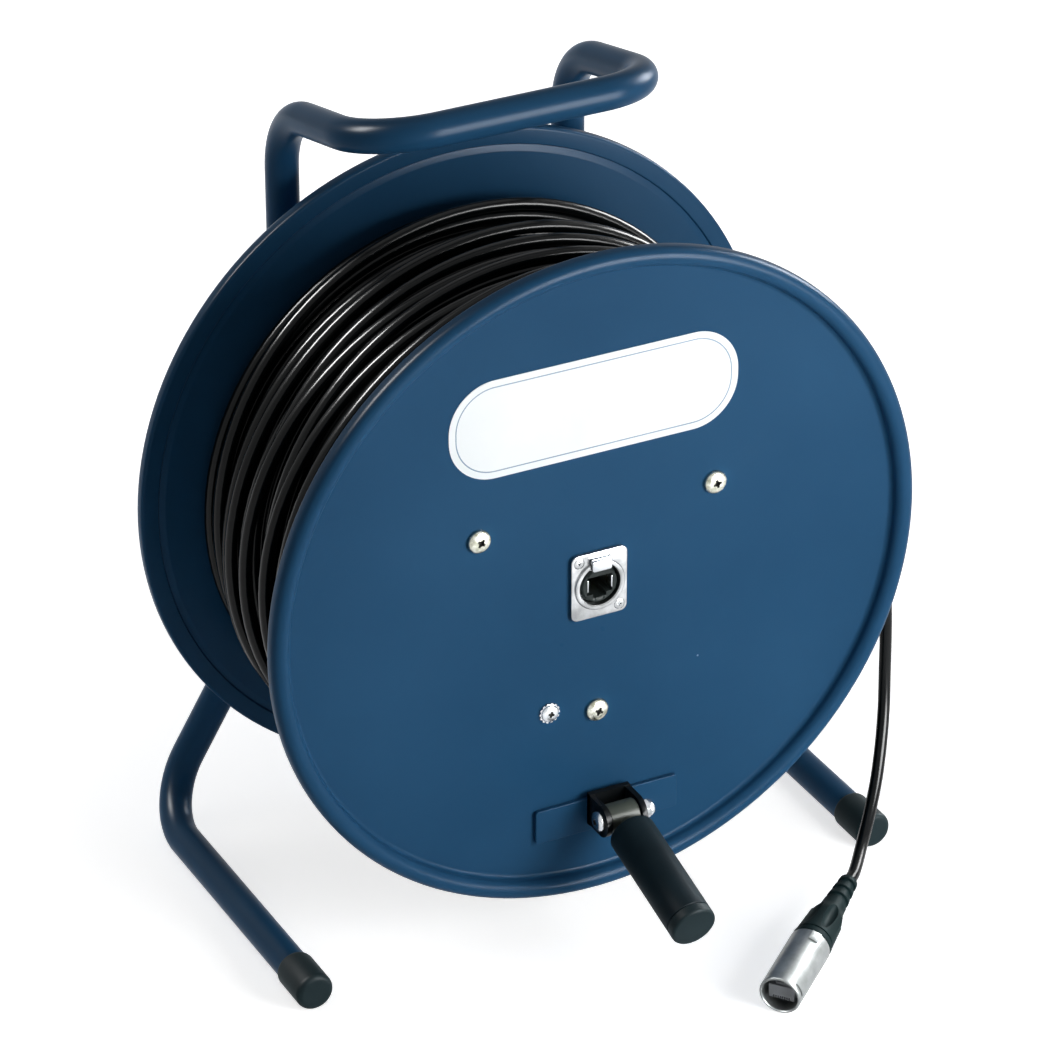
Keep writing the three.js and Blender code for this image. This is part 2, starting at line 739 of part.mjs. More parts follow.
function buildHub(drum) {
  const at = axleStations();
  const collar = OUTER_FACE + SEAT;
  piece(
    "hub_tube",
    revolve(
      [
        [hubBore(), at.hubFront],
        [hubRadius(), at.hubFront],
        [hubRadius(), collar],
        [HUB_COLLAR_RADIUS, collar],
        [HUB_COLLAR_RADIUS, collar + HUB_COLLAR],
        [hubRadius(), collar + HUB_COLLAR],
        [hubRadius(), at.hubRear],
        [hubBore(), at.hubRear],
      ],
      MEDIUM_ROUND,
    ),
    darkPaint(),
    drum,
  );
  const bore = AXLE_RADIUS + BUSH_RUNNING;
  const outer = bore + BUSH_WALL;
  const bush = (mouth, inward) =>
    revolve(
      [
        [bore, mouth - inward * (SEAT + BUSH_LIP)],
        [BUSH_LIP_RADIUS, mouth - inward * (SEAT + BUSH_LIP)],
        [BUSH_LIP_RADIUS, mouth - inward * SEAT],
        [outer, mouth - inward * SEAT],
        [outer, mouth + inward * BUSH_LENGTH],
        [bore, mouth + inward * BUSH_LENGTH],
      ],
      MEDIUM_ROUND,
    );
  piece("bush_front", bush(at.hubFront, 1), bronze(), drum);
  piece("bush_rear", bush(at.hubRear, -1), bronze(), drum);
}

// A turned piece with flutes between two heights, deepest halfway.
function fluted(profile, segments, flutes, [from, to], depth) {
  const body = revolve(profile, segments);
  const place = body.attributes.position;
  for (let i = 0; i < place.count; i++) {
    const [x, y, z] = [place.getX(i), place.getY(i), place.getZ(i)];
    const line = Math.round((Math.atan2(x, z) / (2 * Math.PI)) * segments);
    if (y <= from || y >= to || line % (segments / flutes) === 0) continue;
    const radius = Math.hypot(x, z);
    const drawn = 1 - (depth / radius) * Math.sin((Math.PI * (y - from)) / (to - from));
    place.setXYZ(i, x * drawn, y, z * drawn);
  }
  body.computeVertexNormals();
  return body;
}

function ring(inner, outer, from, to, segments = MEDIUM_ROUND) {
  return revolve(
    [
      [inner, from],
      [outer, from],
      [outer, to],
      [inner, to],
    ],
    segments,
  );
}

function buildAxle(stand) {
  const at = axleStations();
  const shoulderFront = at.channelFront - SEAT - AXLE_SHOULDER;
  const ringSeat = AXLE_RADIUS - CLIP_RING_GROOVE;
  piece(
    "axle",
    revolve(
      [
        [0, at.ringFront - SEAT - AXLE_TIP],
        [AXLE_RADIUS, at.ringFront - SEAT - AXLE_TIP],
        [AXLE_RADIUS, at.ringFront - SEAT],
        [ringSeat, at.ringFront - SEAT],
        [ringSeat, at.frontWasher],
        [AXLE_RADIUS, at.frontWasher],
        [AXLE_RADIUS, shoulderFront],
        [AXLE_SHOULDER_RADIUS, shoulderFront],
        [AXLE_SHOULDER_RADIUS, shoulderFront + AXLE_SHOULDER],
        [AXLE_THREAD_RADIUS, shoulderFront + AXLE_SHOULDER],
        [AXLE_THREAD_RADIUS, at.nutRear + AXLE_THREAD_END],
        [0, at.nutRear + AXLE_THREAD_END],
      ],
      MEDIUM_ROUND,
    ),
    bareSteel(),
    stand,
  );
  const bore = AXLE_RADIUS + SEAT;
  piece(
    "washer_front",
    ring(bore, WASHER_RADIUS, at.frontWasher, at.frontWasher + WASHER),
    zincPlate(),
    stand,
  );
  piece(
    "washer_rear",
    ring(bore, WASHER_RADIUS, at.rearWasher - WASHER, at.rearWasher),
    zincPlate(),
    stand,
  );
  const snapRing = ring(
    ringSeat + SEAT,
    ringSeat + SEAT + CLIP_RING_WIDTH,
    at.ringFront,
    at.ringFront + CLIP_RING,
  );
  const opening = box(
    CLIP_RING_OPENING,
    CLIP_RING + 2 * OVERRUN,
    2 * AXLE_RADIUS,
    0,
    at.ringFront + CLIP_RING / 2,
    -AXLE_RADIUS,
  );
  piece("retaining_ring", cut(snapRing, opening), bareSteel(), stand);
  const washerFront = at.channelRear + SEAT;
  piece(
    "axle_nut_washer",
    ring(AXLE_THREAD_RADIUS + SEAT, AXLE_NUT_WASHER_RADIUS, washerFront, washerFront + WASHER),
    zincPlate(),
    stand,
  );
  piece(
    "axle_nut",
    cut(
      hexPrism(AXLE_NUT_FLATS, at.nutFront, at.nutRear),
      cylinder(AXLE_THREAD_RADIUS + SEAT, at.nutFront - OVERRUN, at.nutRear + OVERRUN, MEDIUM_ROUND),
    ),
    zincPlate(),
    stand,
  );
}

// The stand's centre line, from the left foot over the handle to the right foot.
function standStations() {
  const point = (x, y, z) => new THREE.Vector3(x, y, z);
  const tubeEnd = -FOOT_FRONT + CAP_END + SEAT;
  // The feet fall slightly to the rear, so that caps and bends stand on one plane.
  const capStep = (CAP_DIAMETER - TUBE_DIAMETER) / 2;
  const tilt = degrees(HANDLE_TILT);
  const handleY = STAND_Y - HANDLE_REACH * Math.cos(tilt);
  const handleZ = SHOULDER_RISE + HANDLE_REACH * Math.sin(tilt);
  const left = [
    point(-FOOT_SPREAD, tubeEnd, -FOOT_DROP),
    point(-FOOT_SPREAD, STAND_Y, -FOOT_DROP - capStep),
    point(-UPRIGHT_SPREAD, STAND_Y, -KNEE_DROP),
    point(-UPRIGHT_SPREAD, STAND_Y, SHOULDER_RISE),
    point(-UPRIGHT_SPREAD, handleY, handleZ),
  ];
  const right = left.map(({ x, y, z }) => point(-x, y, z)).reverse();
  const bends = [FOOT_BEND, KNEE_BEND, SHOULDER_BEND, HANDLE_BEND];
  return bentPath([...left, ...right], [...bends, ...bends.slice().reverse()], degrees(BEND_STEP));
}

function buildStand(stand) {
  const stations = standStations();
  const corner = Math.PI / STAND_SIDES;
  const section = circle(TUBE_DIAMETER / 2 / Math.cos(corner), corner);
  const bore = new THREE.Path(
    Array.from({ length: STAND_BORE_SIDES }, (_, i) => {
      const angle = corner + (2 * Math.PI * i) / STAND_BORE_SIDES;
      const radius = TUBE_DIAMETER / 2 - TUBE_WALL;
      return new THREE.Vector2(radius * Math.cos(angle), radius * Math.sin(angle));
    }),
  );
  section.holes.push(bore);
  piece(
    "stand_tube",
    sweep(section, new StationCurve(stations), stations.length - 1, STAND_SIDES),
    bluePaint(),
    stand,
  );
  const at = axleStations();
  const width = 2 * (UPRIGHT_SPREAD - TUBE_DIAMETER / 2 - SEAT);
  const web = box(width, CHANNEL_WALL, CHANNEL_HEIGHT, 0, STAND_Y, 0);
  const lip = (side) =>
    box(
      width,
      CHANNEL_LIP,
      CHANNEL_WALL,
      0,
      at.channelRear + CHANNEL_LIP / 2,
      side * (CHANNEL_HEIGHT - CHANNEL_WALL) / 2,
    );
  const studHole = cylinder(
    BRAKE_STUD_RADIUS + SEAT,
    at.channelFront - OVERRUN,
    at.channelRear + OVERRUN,
  ).translate(BRAKE_OFFSET, 0, 0);
  const axleHole = cylinder(
    AXLE_THREAD_RADIUS + SEAT,
    at.channelFront - OVERRUN,
    at.channelRear + OVERRUN,
    MEDIUM_ROUND,
  );
  const raw = join(web, lip(1), lip(-1));
  const rounding = slab(
    roundedRectangle(2 * width, CHANNEL_HEIGHT, CHANNEL_BEND),
    at.channelFront - OVERRUN,
    at.channelRear + CHANNEL_LIP + OVERRUN,
  );
  const trimmed = geometryOf(solidOf(raw).intersect(solidOf(rounding)));
  piece("hub_channel", cut(trimmed, studHole, axleHole), bluePaint(), stand);
}

function buildFootCap(name, side, stand) {
  const outer = CAP_DIAMETER / 2 / Math.cos(Math.PI / CAP_SIDES);
  const bore = (TUBE_DIAMETER / 2 / Math.cos(Math.PI / STAND_SIDES) + SEAT) / Math.cos(Math.PI / CAP_SIDES);
  const profile = [
    [0, 0],
    ...arc(outer - CAP_ROUND, CAP_ROUND, CAP_ROUND, -90, 0, 3),
    [outer, CAP_LENGTH],
    [bore, CAP_LENGTH],
    [bore, CAP_END],
    [0, CAP_END],
  ];
  const cap = revolve(profile, CAP_SIDES, Math.PI / CAP_SIDES);
  piece(name, cap.translate(side * FOOT_SPREAD, -FOOT_FRONT, -FOOT_DROP), blackPlastic(), stand);
}

function buildBrake(stand) {
  const at = axleStations();
  const neckFront = at.channelRear + SEAT;
  const knobFront = neckFront + BRAKE_KNOB_NECK;
  const knobRear = knobFront + BRAKE_KNOB_HEIGHT;
  const steps = BRAKE_KNOB_LOBES * 4;
  const outline = new THREE.Shape(
    Array.from({ length: steps }, (_, i) => {
      const angle = (2 * Math.PI * i) / steps;
      const radius = BRAKE_KNOB_RADIUS + BRAKE_KNOB_LOBE * Math.cos(BRAKE_KNOB_LOBES * angle);
      return new THREE.Vector2(radius * Math.cos(angle), radius * Math.sin(angle));
    }),
  );
  const boreEnd = neckFront + BRAKE_KNOB_NECK + BRAKE_KNOB_BORE;
  const knob = cut(
    join(
      slab(outline, knobFront, knobRear, 1, BRAKE_KNOB_ROUND),
      cylinder(BRAKE_KNOB_NECK_RADIUS, neckFront, knobFront + OVERRUN, MEDIUM_ROUND),
    ),
    cylinder(BRAKE_STUD_RADIUS + SEAT, neckFront - OVERRUN, boreEnd),
  );
  piece("brake_knob", knob.translate(BRAKE_OFFSET, 0, 0), blackPlastic(), stand);
  const shoeFront = OUTER_FACE + BRAKE_OPEN_GAP;
  const shoeRear = shoeFront + BRAKE_SHOE_THICKNESS;
  const studTip = shoeRear - BRAKE_SHOE_SOCKET + SEAT;
  const stud = cylinder(BRAKE_STUD_RADIUS, studTip, boreEnd - SEAT);
  piece("brake_stud", stud.translate(BRAKE_OFFSET, 0, 0), bareSteel(), stand);
  const shoe = revolve(
    [
      [0, shoeFront],
      [BRAKE_SHOE_RADIUS, shoeFront],
      [BRAKE_SHOE_RADIUS, shoeRear],
      [BRAKE_STUD_RADIUS + SEAT, shoeRear],
      [BRAKE_STUD_RADIUS + SEAT, shoeRear - BRAKE_SHOE_SOCKET],
      [0, shoeRear - BRAKE_SHOE_SOCKET],
    ],
    SMALL_ROUND,
  );
  piece("brake_shoe", shoe.translate(BRAKE_OFFSET, 0, 0), blackRubber(), stand);
}

// Centre line of the wound layer: dive into the coil, loops from rear to front, straight run off.
function layerPoints() {
  const centre = new THREE.Vector3(-LAYER_LEFT, 0, -LAYER_DOWN);
  const rear = INNER_FACE - LAYER_REAR_MARGIN - CABLE_DIAMETER / 2;
  const front = -INNER_FACE + LAYER_FRONT_MARGIN;
  const leave = degrees(LEAVE_ANGLE);
  const outward = new THREE.Vector3(Math.cos(leave), 0, Math.sin(leave));
  const along = new THREE.Vector3(Math.sin(leave), 0, -Math.cos(leave));
  const points = [];
  const diveCorner = centre
    .clone()
    .addScaledVector(outward, LAYER_RADIUS - DIVE_BEND)
    .addScaledVector(along, -DIVE_BEND);
  diveCorner.y = rear;
  points.push(diveCorner.clone().addScaledVector(outward, -CABLE_DIAMETER));
  const bendCentre = diveCorner.clone().addScaledVector(along, DIVE_BEND);
  for (let i = 0; i < DIVE_STEPS; i++) {
    const angle = (Math.PI / 2) * (i / DIVE_STEPS);
    points.push(
      bendCentre
        .clone()
        .addScaledVector(along, -DIVE_BEND * Math.cos(angle))
        .addScaledVector(outward, DIVE_BEND * Math.sin(angle)),
    );
  }
  const total = LAYER_LOOPS * LOOP_STEPS;
  for (let i = 0; i <= total; i++) {
    const turn = i / LOOP_STEPS;
    const angle = leave - 2 * Math.PI * turn;
    const ease = Math.min(1, turn, LAYER_LOOPS - turn);
    const weave = ease * LAYER_WEAVE * Math.sin(2 * Math.PI * LAYER_WEAVE_SHARE * turn);
    points.push(
      new THREE.Vector3(
        centre.x + LAYER_RADIUS * Math.cos(angle),
        rear - ((rear - front) * i) / total + weave,
        centre.z + LAYER_RADIUS * Math.sin(angle),
      ),
    );
  }
  points.push(points[points.length - 1].clone().addScaledVector(along, RUN_OFF));
  return points;
}

function buildCoil(drum) {
  const points = layerPoints();
  console.log("wound layer: least gap to itself %s mm", leastGap(points, CABLE_DIAMETER, NEIGHBOUR_RUN).toFixed(2));
  piece("cable_layer", tubeThrough(points, CABLE_DIAMETER / 2, LOOP_SIDES), cableJacket(), drum);
  const end = INNER_FACE - SEAT;
  const ringRadius = LAYER_RADIUS * Math.cos(Math.PI / LOOP_STEPS) - CABLE_DIAMETER / 2 - SEAT;
  const outside = cylinder(ringRadius, -end, end, LARGE_ROUND).translate(-LAYER_LEFT, 0, -LAYER_DOWN);
  const bore = cylinder(CORE_RADIUS + SEAT, -end - OVERRUN, end + OVERRUN, CORE_ROUND);
  const pocketDepth = DIVE_BEND + CABLE_DIAMETER + SEAT;
  const pocketLength = DIVE_BEND + CABLE_DIAMETER + SEAT;
  const pocket = box(pocketLength, CABLE_DIAMETER + 2 * POCKET_GAP, 2 * pocketDepth)
    .translate(-(DIVE_BEND + SEAT) / 2, points[0].y, LAYER_RADIUS)
    .rotateY(degrees(90 - LEAVE_ANGLE))
    .translate(-LAYER_LEFT, 0, -LAYER_DOWN);
  piece("cable_coil", cut(outside, bore, pocket), cableJacket(), drum);
}

function buildTail(stand) {
  const tail = sweep(circle(CABLE_DIAMETER / 2), routeCurve(TAIL_ROUTE), TAIL_STEPS, TAIL_SIDES);
  piece("cable_tail", tail, cableJacket(), stand);
}

// The plug is built along Y with its nose at zero, then laid down at the end of the tail.
function buildPlug(stand) {
  const plug = new THREE.Group();
  const nose = new THREE.Vector3(...PLUG_NOSE);
  const axis = new THREE.Vector3(...PLUG_TAIL).sub(nose);
  const length = axis.length();
  const along = axis.clone().normalize();
  const across = along.clone().cross(new THREE.Vector3(0, 0, 1)).normalize();
  const above = across.clone().cross(along);
  plug.position.copy(nose);
  plug.quaternion.setFromRotationMatrix(new THREE.Matrix4().makeBasis(across, along, above));
  stand.add(plug);
  const outer = SHELL_DIAMETER / 2;
  const inner = outer - SHELL_WALL;
  const shell = revolve(
    [
      [inner, 0],
      [outer - SHELL_CHAMFER, 0],
      [outer, SHELL_CHAMFER],
      [outer, SHELL_LENGTH],
      [inner, SHELL_LENGTH],
    ],
    MEDIUM_ROUND,
  );
  const slot = box(
    SHELL_SLOT_WIDTH,
    SHELL_SLOT_LENGTH,
    2 * SHELL_WALL + OVERRUN,
    0,
    SHELL_SLOT_FROM_NOSE + SHELL_SLOT_LENGTH / 2,
    outer,
  );
  const key = box(
    SHELL_KEY_WIDTH,
    SHELL_KEY_LENGTH,
    SHELL_KEY_PROUD + SHELL_WALL / 2,
    0,
    SHELL_LENGTH - SHELL_KEY_FROM_REAR - SHELL_KEY_LENGTH / 2,
    outer + (SHELL_KEY_PROUD - SHELL_WALL / 2) / 2,
  );
  piece("plug_shell", cut(join(shell, key), slot), zincPlate(), plug);
  const carrierRadius = inner - SEAT;
  const jackNose = CARRIER_BACK - JACK_LENGTH;
  const latchZ = (JACK_HEIGHT + JACK_LATCH_HEIGHT) / 2;
  piece(
    "plug_carrier",
    join(
      cylinder(carrierRadius, CARRIER_BACK, CARRIER_BACK + CARRIER_LENGTH, MEDIUM_ROUND),
      box(JACK_WIDTH, JACK_LENGTH + OVERRUN, JACK_HEIGHT, 0, jackNose + (JACK_LENGTH + OVERRUN) / 2, 0),
      box(
        JACK_LATCH_WIDTH,
        JACK_LENGTH,
        JACK_LATCH_HEIGHT + OVERRUN,
        0,
        CARRIER_BACK + OVERRUN - JACK_LENGTH / 2,
        latchZ - OVERRUN / 2,
      ),
    ),
    blackPlastic(),
    plug,
  );
  const chuckFront = CARRIER_BACK + CARRIER_LENGTH + SEAT;
  piece(
    "plug_chuck",
    revolve(
      [
        [CABLE_DIAMETER / 2 + SEAT, chuckFront],
        [carrierRadius, chuckFront],
        [carrierRadius, chuckFront + CHUCK_LENGTH / 2],
        [carrierRadius - CHUCK_WALL + SEAT, chuckFront + CHUCK_LENGTH],
        [CABLE_DIAMETER / 2 + SEAT, chuckFront + CHUCK_LENGTH],
      ],
      SMALL_ROUND,
    ),
    blackPlastic(),
    plug,
  );
  const bootFront = SHELL_LENGTH + SEAT;
  const neckStart = length - BOOT_NECK;
  const pitch = BOOT_NECK / (2 * BOOT_GROOVES + 1);
  const neck = [];
  for (let i = 0; i < BOOT_GROOVES; i++) {
    const radiusAt = (y) =>
      (BOOT_WAIST + ((BOOT_TAIL - BOOT_WAIST) * (y - neckStart)) / BOOT_NECK) / 2;
    const from = neckStart + pitch * (2 * i + 1);
    neck.push([radiusAt(from), from]);
    neck.push([radiusAt(from) - BOOT_GROOVE, from]);
    neck.push([radiusAt(from + pitch) - BOOT_GROOVE, from + pitch]);
    neck.push([radiusAt(from + pitch), from + pitch]);
  }
  const collarEnd = bootFront + BOOT_COLLAR;
  const fluteStart = collarEnd + BOOT_COLLAR_GROOVE;
  const flareStart = bootFront + BOOT_STRAIGHT;
  const flare = BOOT_FLARE_SHARES.map(([along, full]) => [
    (BOOT_WAIST + (BOOT_DIAMETER - BOOT_WAIST) * full) / 2,
    flareStart + (neckStart - flareStart) * along,
  ]);
  piece(
    "plug_boot",
    fluted(
      [
        [inner - SEAT, bootFront],
        [BOOT_DIAMETER / 2, bootFront],
        [BOOT_DIAMETER / 2, collarEnd],
        [BOOT_DIAMETER / 2 - BOOT_COLLAR_GROOVE, collarEnd],
        [BOOT_DIAMETER / 2 - BOOT_COLLAR_GROOVE, fluteStart],
        [BOOT_DIAMETER / 2, fluteStart],
        [BOOT_DIAMETER / 2, (2 * fluteStart + flareStart) / 3],
        ...flare,
        ...neck,
        [BOOT_TAIL / 2, length],
        [0, length],
        [0, length - BOOT_WALL],
        [CABLE_DIAMETER / 2, neckStart],
        [inner - SEAT - BOOT_WALL, bootFront + BOOT_WALL],
      ],
      HANDLE_ROUND,
      BOOT_FLUTES,
      [fluteStart, neckStart],
      BOOT_FLUTE,
    ),
    blackRubber(),
    plug,
  );
}

function plateScrewPlaces() {
  return [
    [-PLATE_SCREW_X, PLATE_SCREW_Z - SOCKET_DROP],
    [PLATE_SCREW_X, -PLATE_SCREW_Z - SOCKET_DROP],
  ];
}

function buildSocket(drum) {
  const socket = new THREE.Group();
  socket.position.set(0, -OUTER_FACE - SEAT, -SOCKET_DROP);
  drum.add(socket);
  const faceY = -PLATE_THICKNESS - BOSS_HEIGHT;
  const plate = join(
    slab(roundedRectangle(PLATE_WIDTH, PLATE_HEIGHT, PLATE_CORNER), -PLATE_THICKNESS, 0),
    revolve(
      [
        [0, faceY],
        [BOSS_RADIUS - BOSS_HEIGHT / 2, faceY],
        [BOSS_RADIUS, faceY + BOSS_HEIGHT / 2],
        [BOSS_RADIUS, -PLATE_THICKNESS / 2],
        [BARREL_RADIUS, -PLATE_THICKNESS / 2],
        [BARREL_RADIUS, BARREL_DEPTH],
        [0, BARREL_DEPTH],
      ],
      MEDIUM_ROUND,
    ),
  );
  const latchMiddle = LATCH_TOP - LATCH_HEIGHT / 2;
  const latchBack = LATCH_DEPTH + LATCH_TRAVEL + SEAT;
  const screwPlaces = plateScrewPlaces().map(([x, z]) => [x, z + SOCKET_DROP]);
  piece(
    "socket_housing",
    cut(
      plate,
      cylinder(MOUTH_RADIUS, faceY - OVERRUN, BARREL_DEPTH + OVERRUN, MEDIUM_ROUND),
      box(
        LATCH_WIDTH + 2 * SEAT,
        latchBack - faceY + OVERRUN,
        LATCH_HEIGHT + 2 * SEAT,
        0,
        (latchBack + faceY - OVERRUN) / 2,
        latchMiddle,
      ),
      ...holesAt(screwPlaces, PLATE_SCREW_RADIUS + SEAT, -PLATE_THICKNESS - OVERRUN, OVERRUN),
      ...screwPlaces.map(([x, z]) =>
        revolve(countersink(PLATE_SCREW_HEAD + SEAT, PLATE_SCREW_RADIUS + SEAT, OVERRUN), SMALL_ROUND).translate(
          x,
          -PLATE_THICKNESS,
          z,
        ),
      ),
    ),
    zincPlate(),
    socket,
  );
  const insertRadius = MOUTH_RADIUS - SEAT;
  const insertFront = faceY + INSERT_SETBACK;
  const mouthY = insertFront + (CAVITY_DEPTH - OVERRUN) / 2;
  const latchCut = box(
    LATCH_WIDTH + 2 * SEAT,
    latchBack - faceY + 2 * OVERRUN,
    LATCH_HEIGHT + 2 * SEAT,
    0,
    (latchBack + faceY) / 2,
    latchMiddle,
  );
  piece(
    "socket_insert",
    cut(
      revolve(
        [
          [0, insertFront],
          [INSERT_NOSE_RADIUS, insertFront],
          [INSERT_NOSE_RADIUS, insertFront + INSERT_NOSE],
          [insertRadius, insertFront + INSERT_NOSE],
          [insertRadius, BARREL_DEPTH + INSERT_END],
          [0, BARREL_DEPTH + INSERT_END],
        ],
        MEDIUM_ROUND,
      ),
      box(CAVITY_WIDTH, CAVITY_DEPTH + OVERRUN, CAVITY_HEIGHT, 0, mouthY, 0),
      box(
        CAVITY_KEY_WIDTH,
        CAVITY_DEPTH + OVERRUN,
        CAVITY_KEY_HEIGHT + OVERRUN,
        0,
        mouthY,
        -(CAVITY_HEIGHT + CAVITY_KEY_HEIGHT - OVERRUN) / 2,
      ),
      latchCut,
    ),
    blackPlastic(),
    socket,
  );
  const tabFront = faceY - LATCH_PROUD;
  const tabBack = -LATCH_TRAVEL - SEAT;
  const stemHeight = LATCH_STEM_TOP - LATCH_TOP + LATCH_HEIGHT;
  const notches = [-1, 1].map((side) =>
    box(
      2 * LATCH_NOTCH,
      2 * LATCH_NOTCH,
      2 * LATCH_NOTCH,
      (side * LATCH_WIDTH) / 2,
      tabFront,
      latchMiddle - LATCH_HEIGHT / 2,
    ),
  );
  piece(
    "socket_latch",
    cut(
      join(
        box(LATCH_WIDTH, tabBack - tabFront, LATCH_HEIGHT, 0, (tabBack + tabFront) / 2, latchMiddle),
        box(
          LATCH_WIDTH,
          LATCH_DEPTH - tabFront,
          stemHeight,
          0,
          (LATCH_DEPTH + tabFront) / 2,
          LATCH_STEM_TOP - stemHeight / 2,
        ),
      ),
      ...notches,
    ),
    zincPlate(),
    socket,
  );
  screwPlaces.forEach(([x, z], i) => {
    const head = countersink(PLATE_SCREW_HEAD, PLATE_SCREW_RADIUS, 0);
    const screw = revolve(
      [...head.slice(0, -1), [PLATE_SCREW_RADIUS, PLATE_SCREW_LENGTH], [0, PLATE_SCREW_LENGTH]],
      SMALL_ROUND,
    );
    const recess = (width, height) => box(width, PLATE_SCREW_RADIUS, height);
    const reach = PLATE_SCREW_HEAD * 2 * RECESS_SHARE;
    const slot = RECESS_SLOT / 2;
    piece(
      "socket_screw_" + (i + 1),
      cut(screw, recess(reach, slot), recess(slot, reach)).translate(x, -PLATE_THICKNESS, z),
      zincPlate(),
      socket,
    );
  });
}

// A countersunk head's half profile, from its flat top at zero down its cone to the axis.
function countersink(headRadius, shankRadius, above) {
  return [
    [0, -above],
    [headRadius, -above],
    [headRadius, 0],
    [shankRadius, headRadius - shankRadius],
    [0, headRadius - shankRadius],
  ];
}

function buildLead(drum) {
  const route = LEAD_ROUTE.map(([x, behind, z]) => [x, behind - INNER_FACE, z]);
  const lead = sweep(circle(CABLE_DIAMETER / 2), routeCurve(route), LEAD_STEPS, LOOP_SIDES);
  piece("inner_lead", lead, cableJacket(), drum);
  const screw = panScrew(CLIP_SCREW_RADIUS, CLIP_SCREW_HEAD, CLIP_SCREW_HEIGHT, CLIP_SCREW_LENGTH);
  piece("clip_screw", screw.translate(CLIP_X, -OUTER_FACE - SEAT, CLIP_Z), zincPlate(), drum);
  // The clip's strap lies flat on the flange and curls round the lead.
  const inward = Math.atan2(-CLIP_X, -CLIP_Z);
  const strapBack = -INNER_FACE + SEAT;
  const hold = CABLE_DIAMETER / 2 + 2 * SEAT;
  const loopY = route[LEAD_CLIPPED][1];
  const loop = cut(
    cylinder(hold + CLIP_WALL, -CLIP_WIDTH / 2, CLIP_WIDTH / 2),
    cylinder(hold, -CLIP_WIDTH, CLIP_WIDTH),
  ).rotateZ(Math.PI / 2);
  loop.translate(0, loopY, CLIP_PITCH);
  const strapLength = CLIP_PITCH + CLIP_WIDTH / 2;
  const strap = box(
    CLIP_WIDTH,
    CLIP_WALL,
    strapLength,
    0,
    strapBack + CLIP_WALL / 2,
    (strapLength - CLIP_WIDTH) / 2,
  );
  const stem = loopY - hold - strapBack;
  const leg = box(CLIP_WIDTH, stem, CLIP_WALL, 0, strapBack + stem / 2, CLIP_PITCH);
  const clip = cut(
    join(loop, strap, leg),
    cylinder(CLIP_SCREW_RADIUS + SEAT, -OUTER_FACE, loopY),
    cylinder(hold, -2 * CLIP_WIDTH, 2 * CLIP_WIDTH).rotateZ(Math.PI / 2).translate(0, loopY, CLIP_PITCH),
  );
  piece("cable_clip", clip.rotateY(inward).translate(CLIP_X, 0, CLIP_Z), blackPlastic(), drum);
  const nutFront = strapBack + CLIP_WALL + SEAT;
  const nut = cut(
    hexPrism(CLIP_NUT_FLATS, nutFront, nutFront + CLIP_NUT_HEIGHT),
    cylinder(CLIP_SCREW_RADIUS + SEAT, nutFront - OVERRUN, nutFront + CLIP_NUT_HEIGHT + OVERRUN),
  );
  piece("clip_nut", nut.translate(CLIP_X, 0, CLIP_Z), zincPlate(), drum);
}

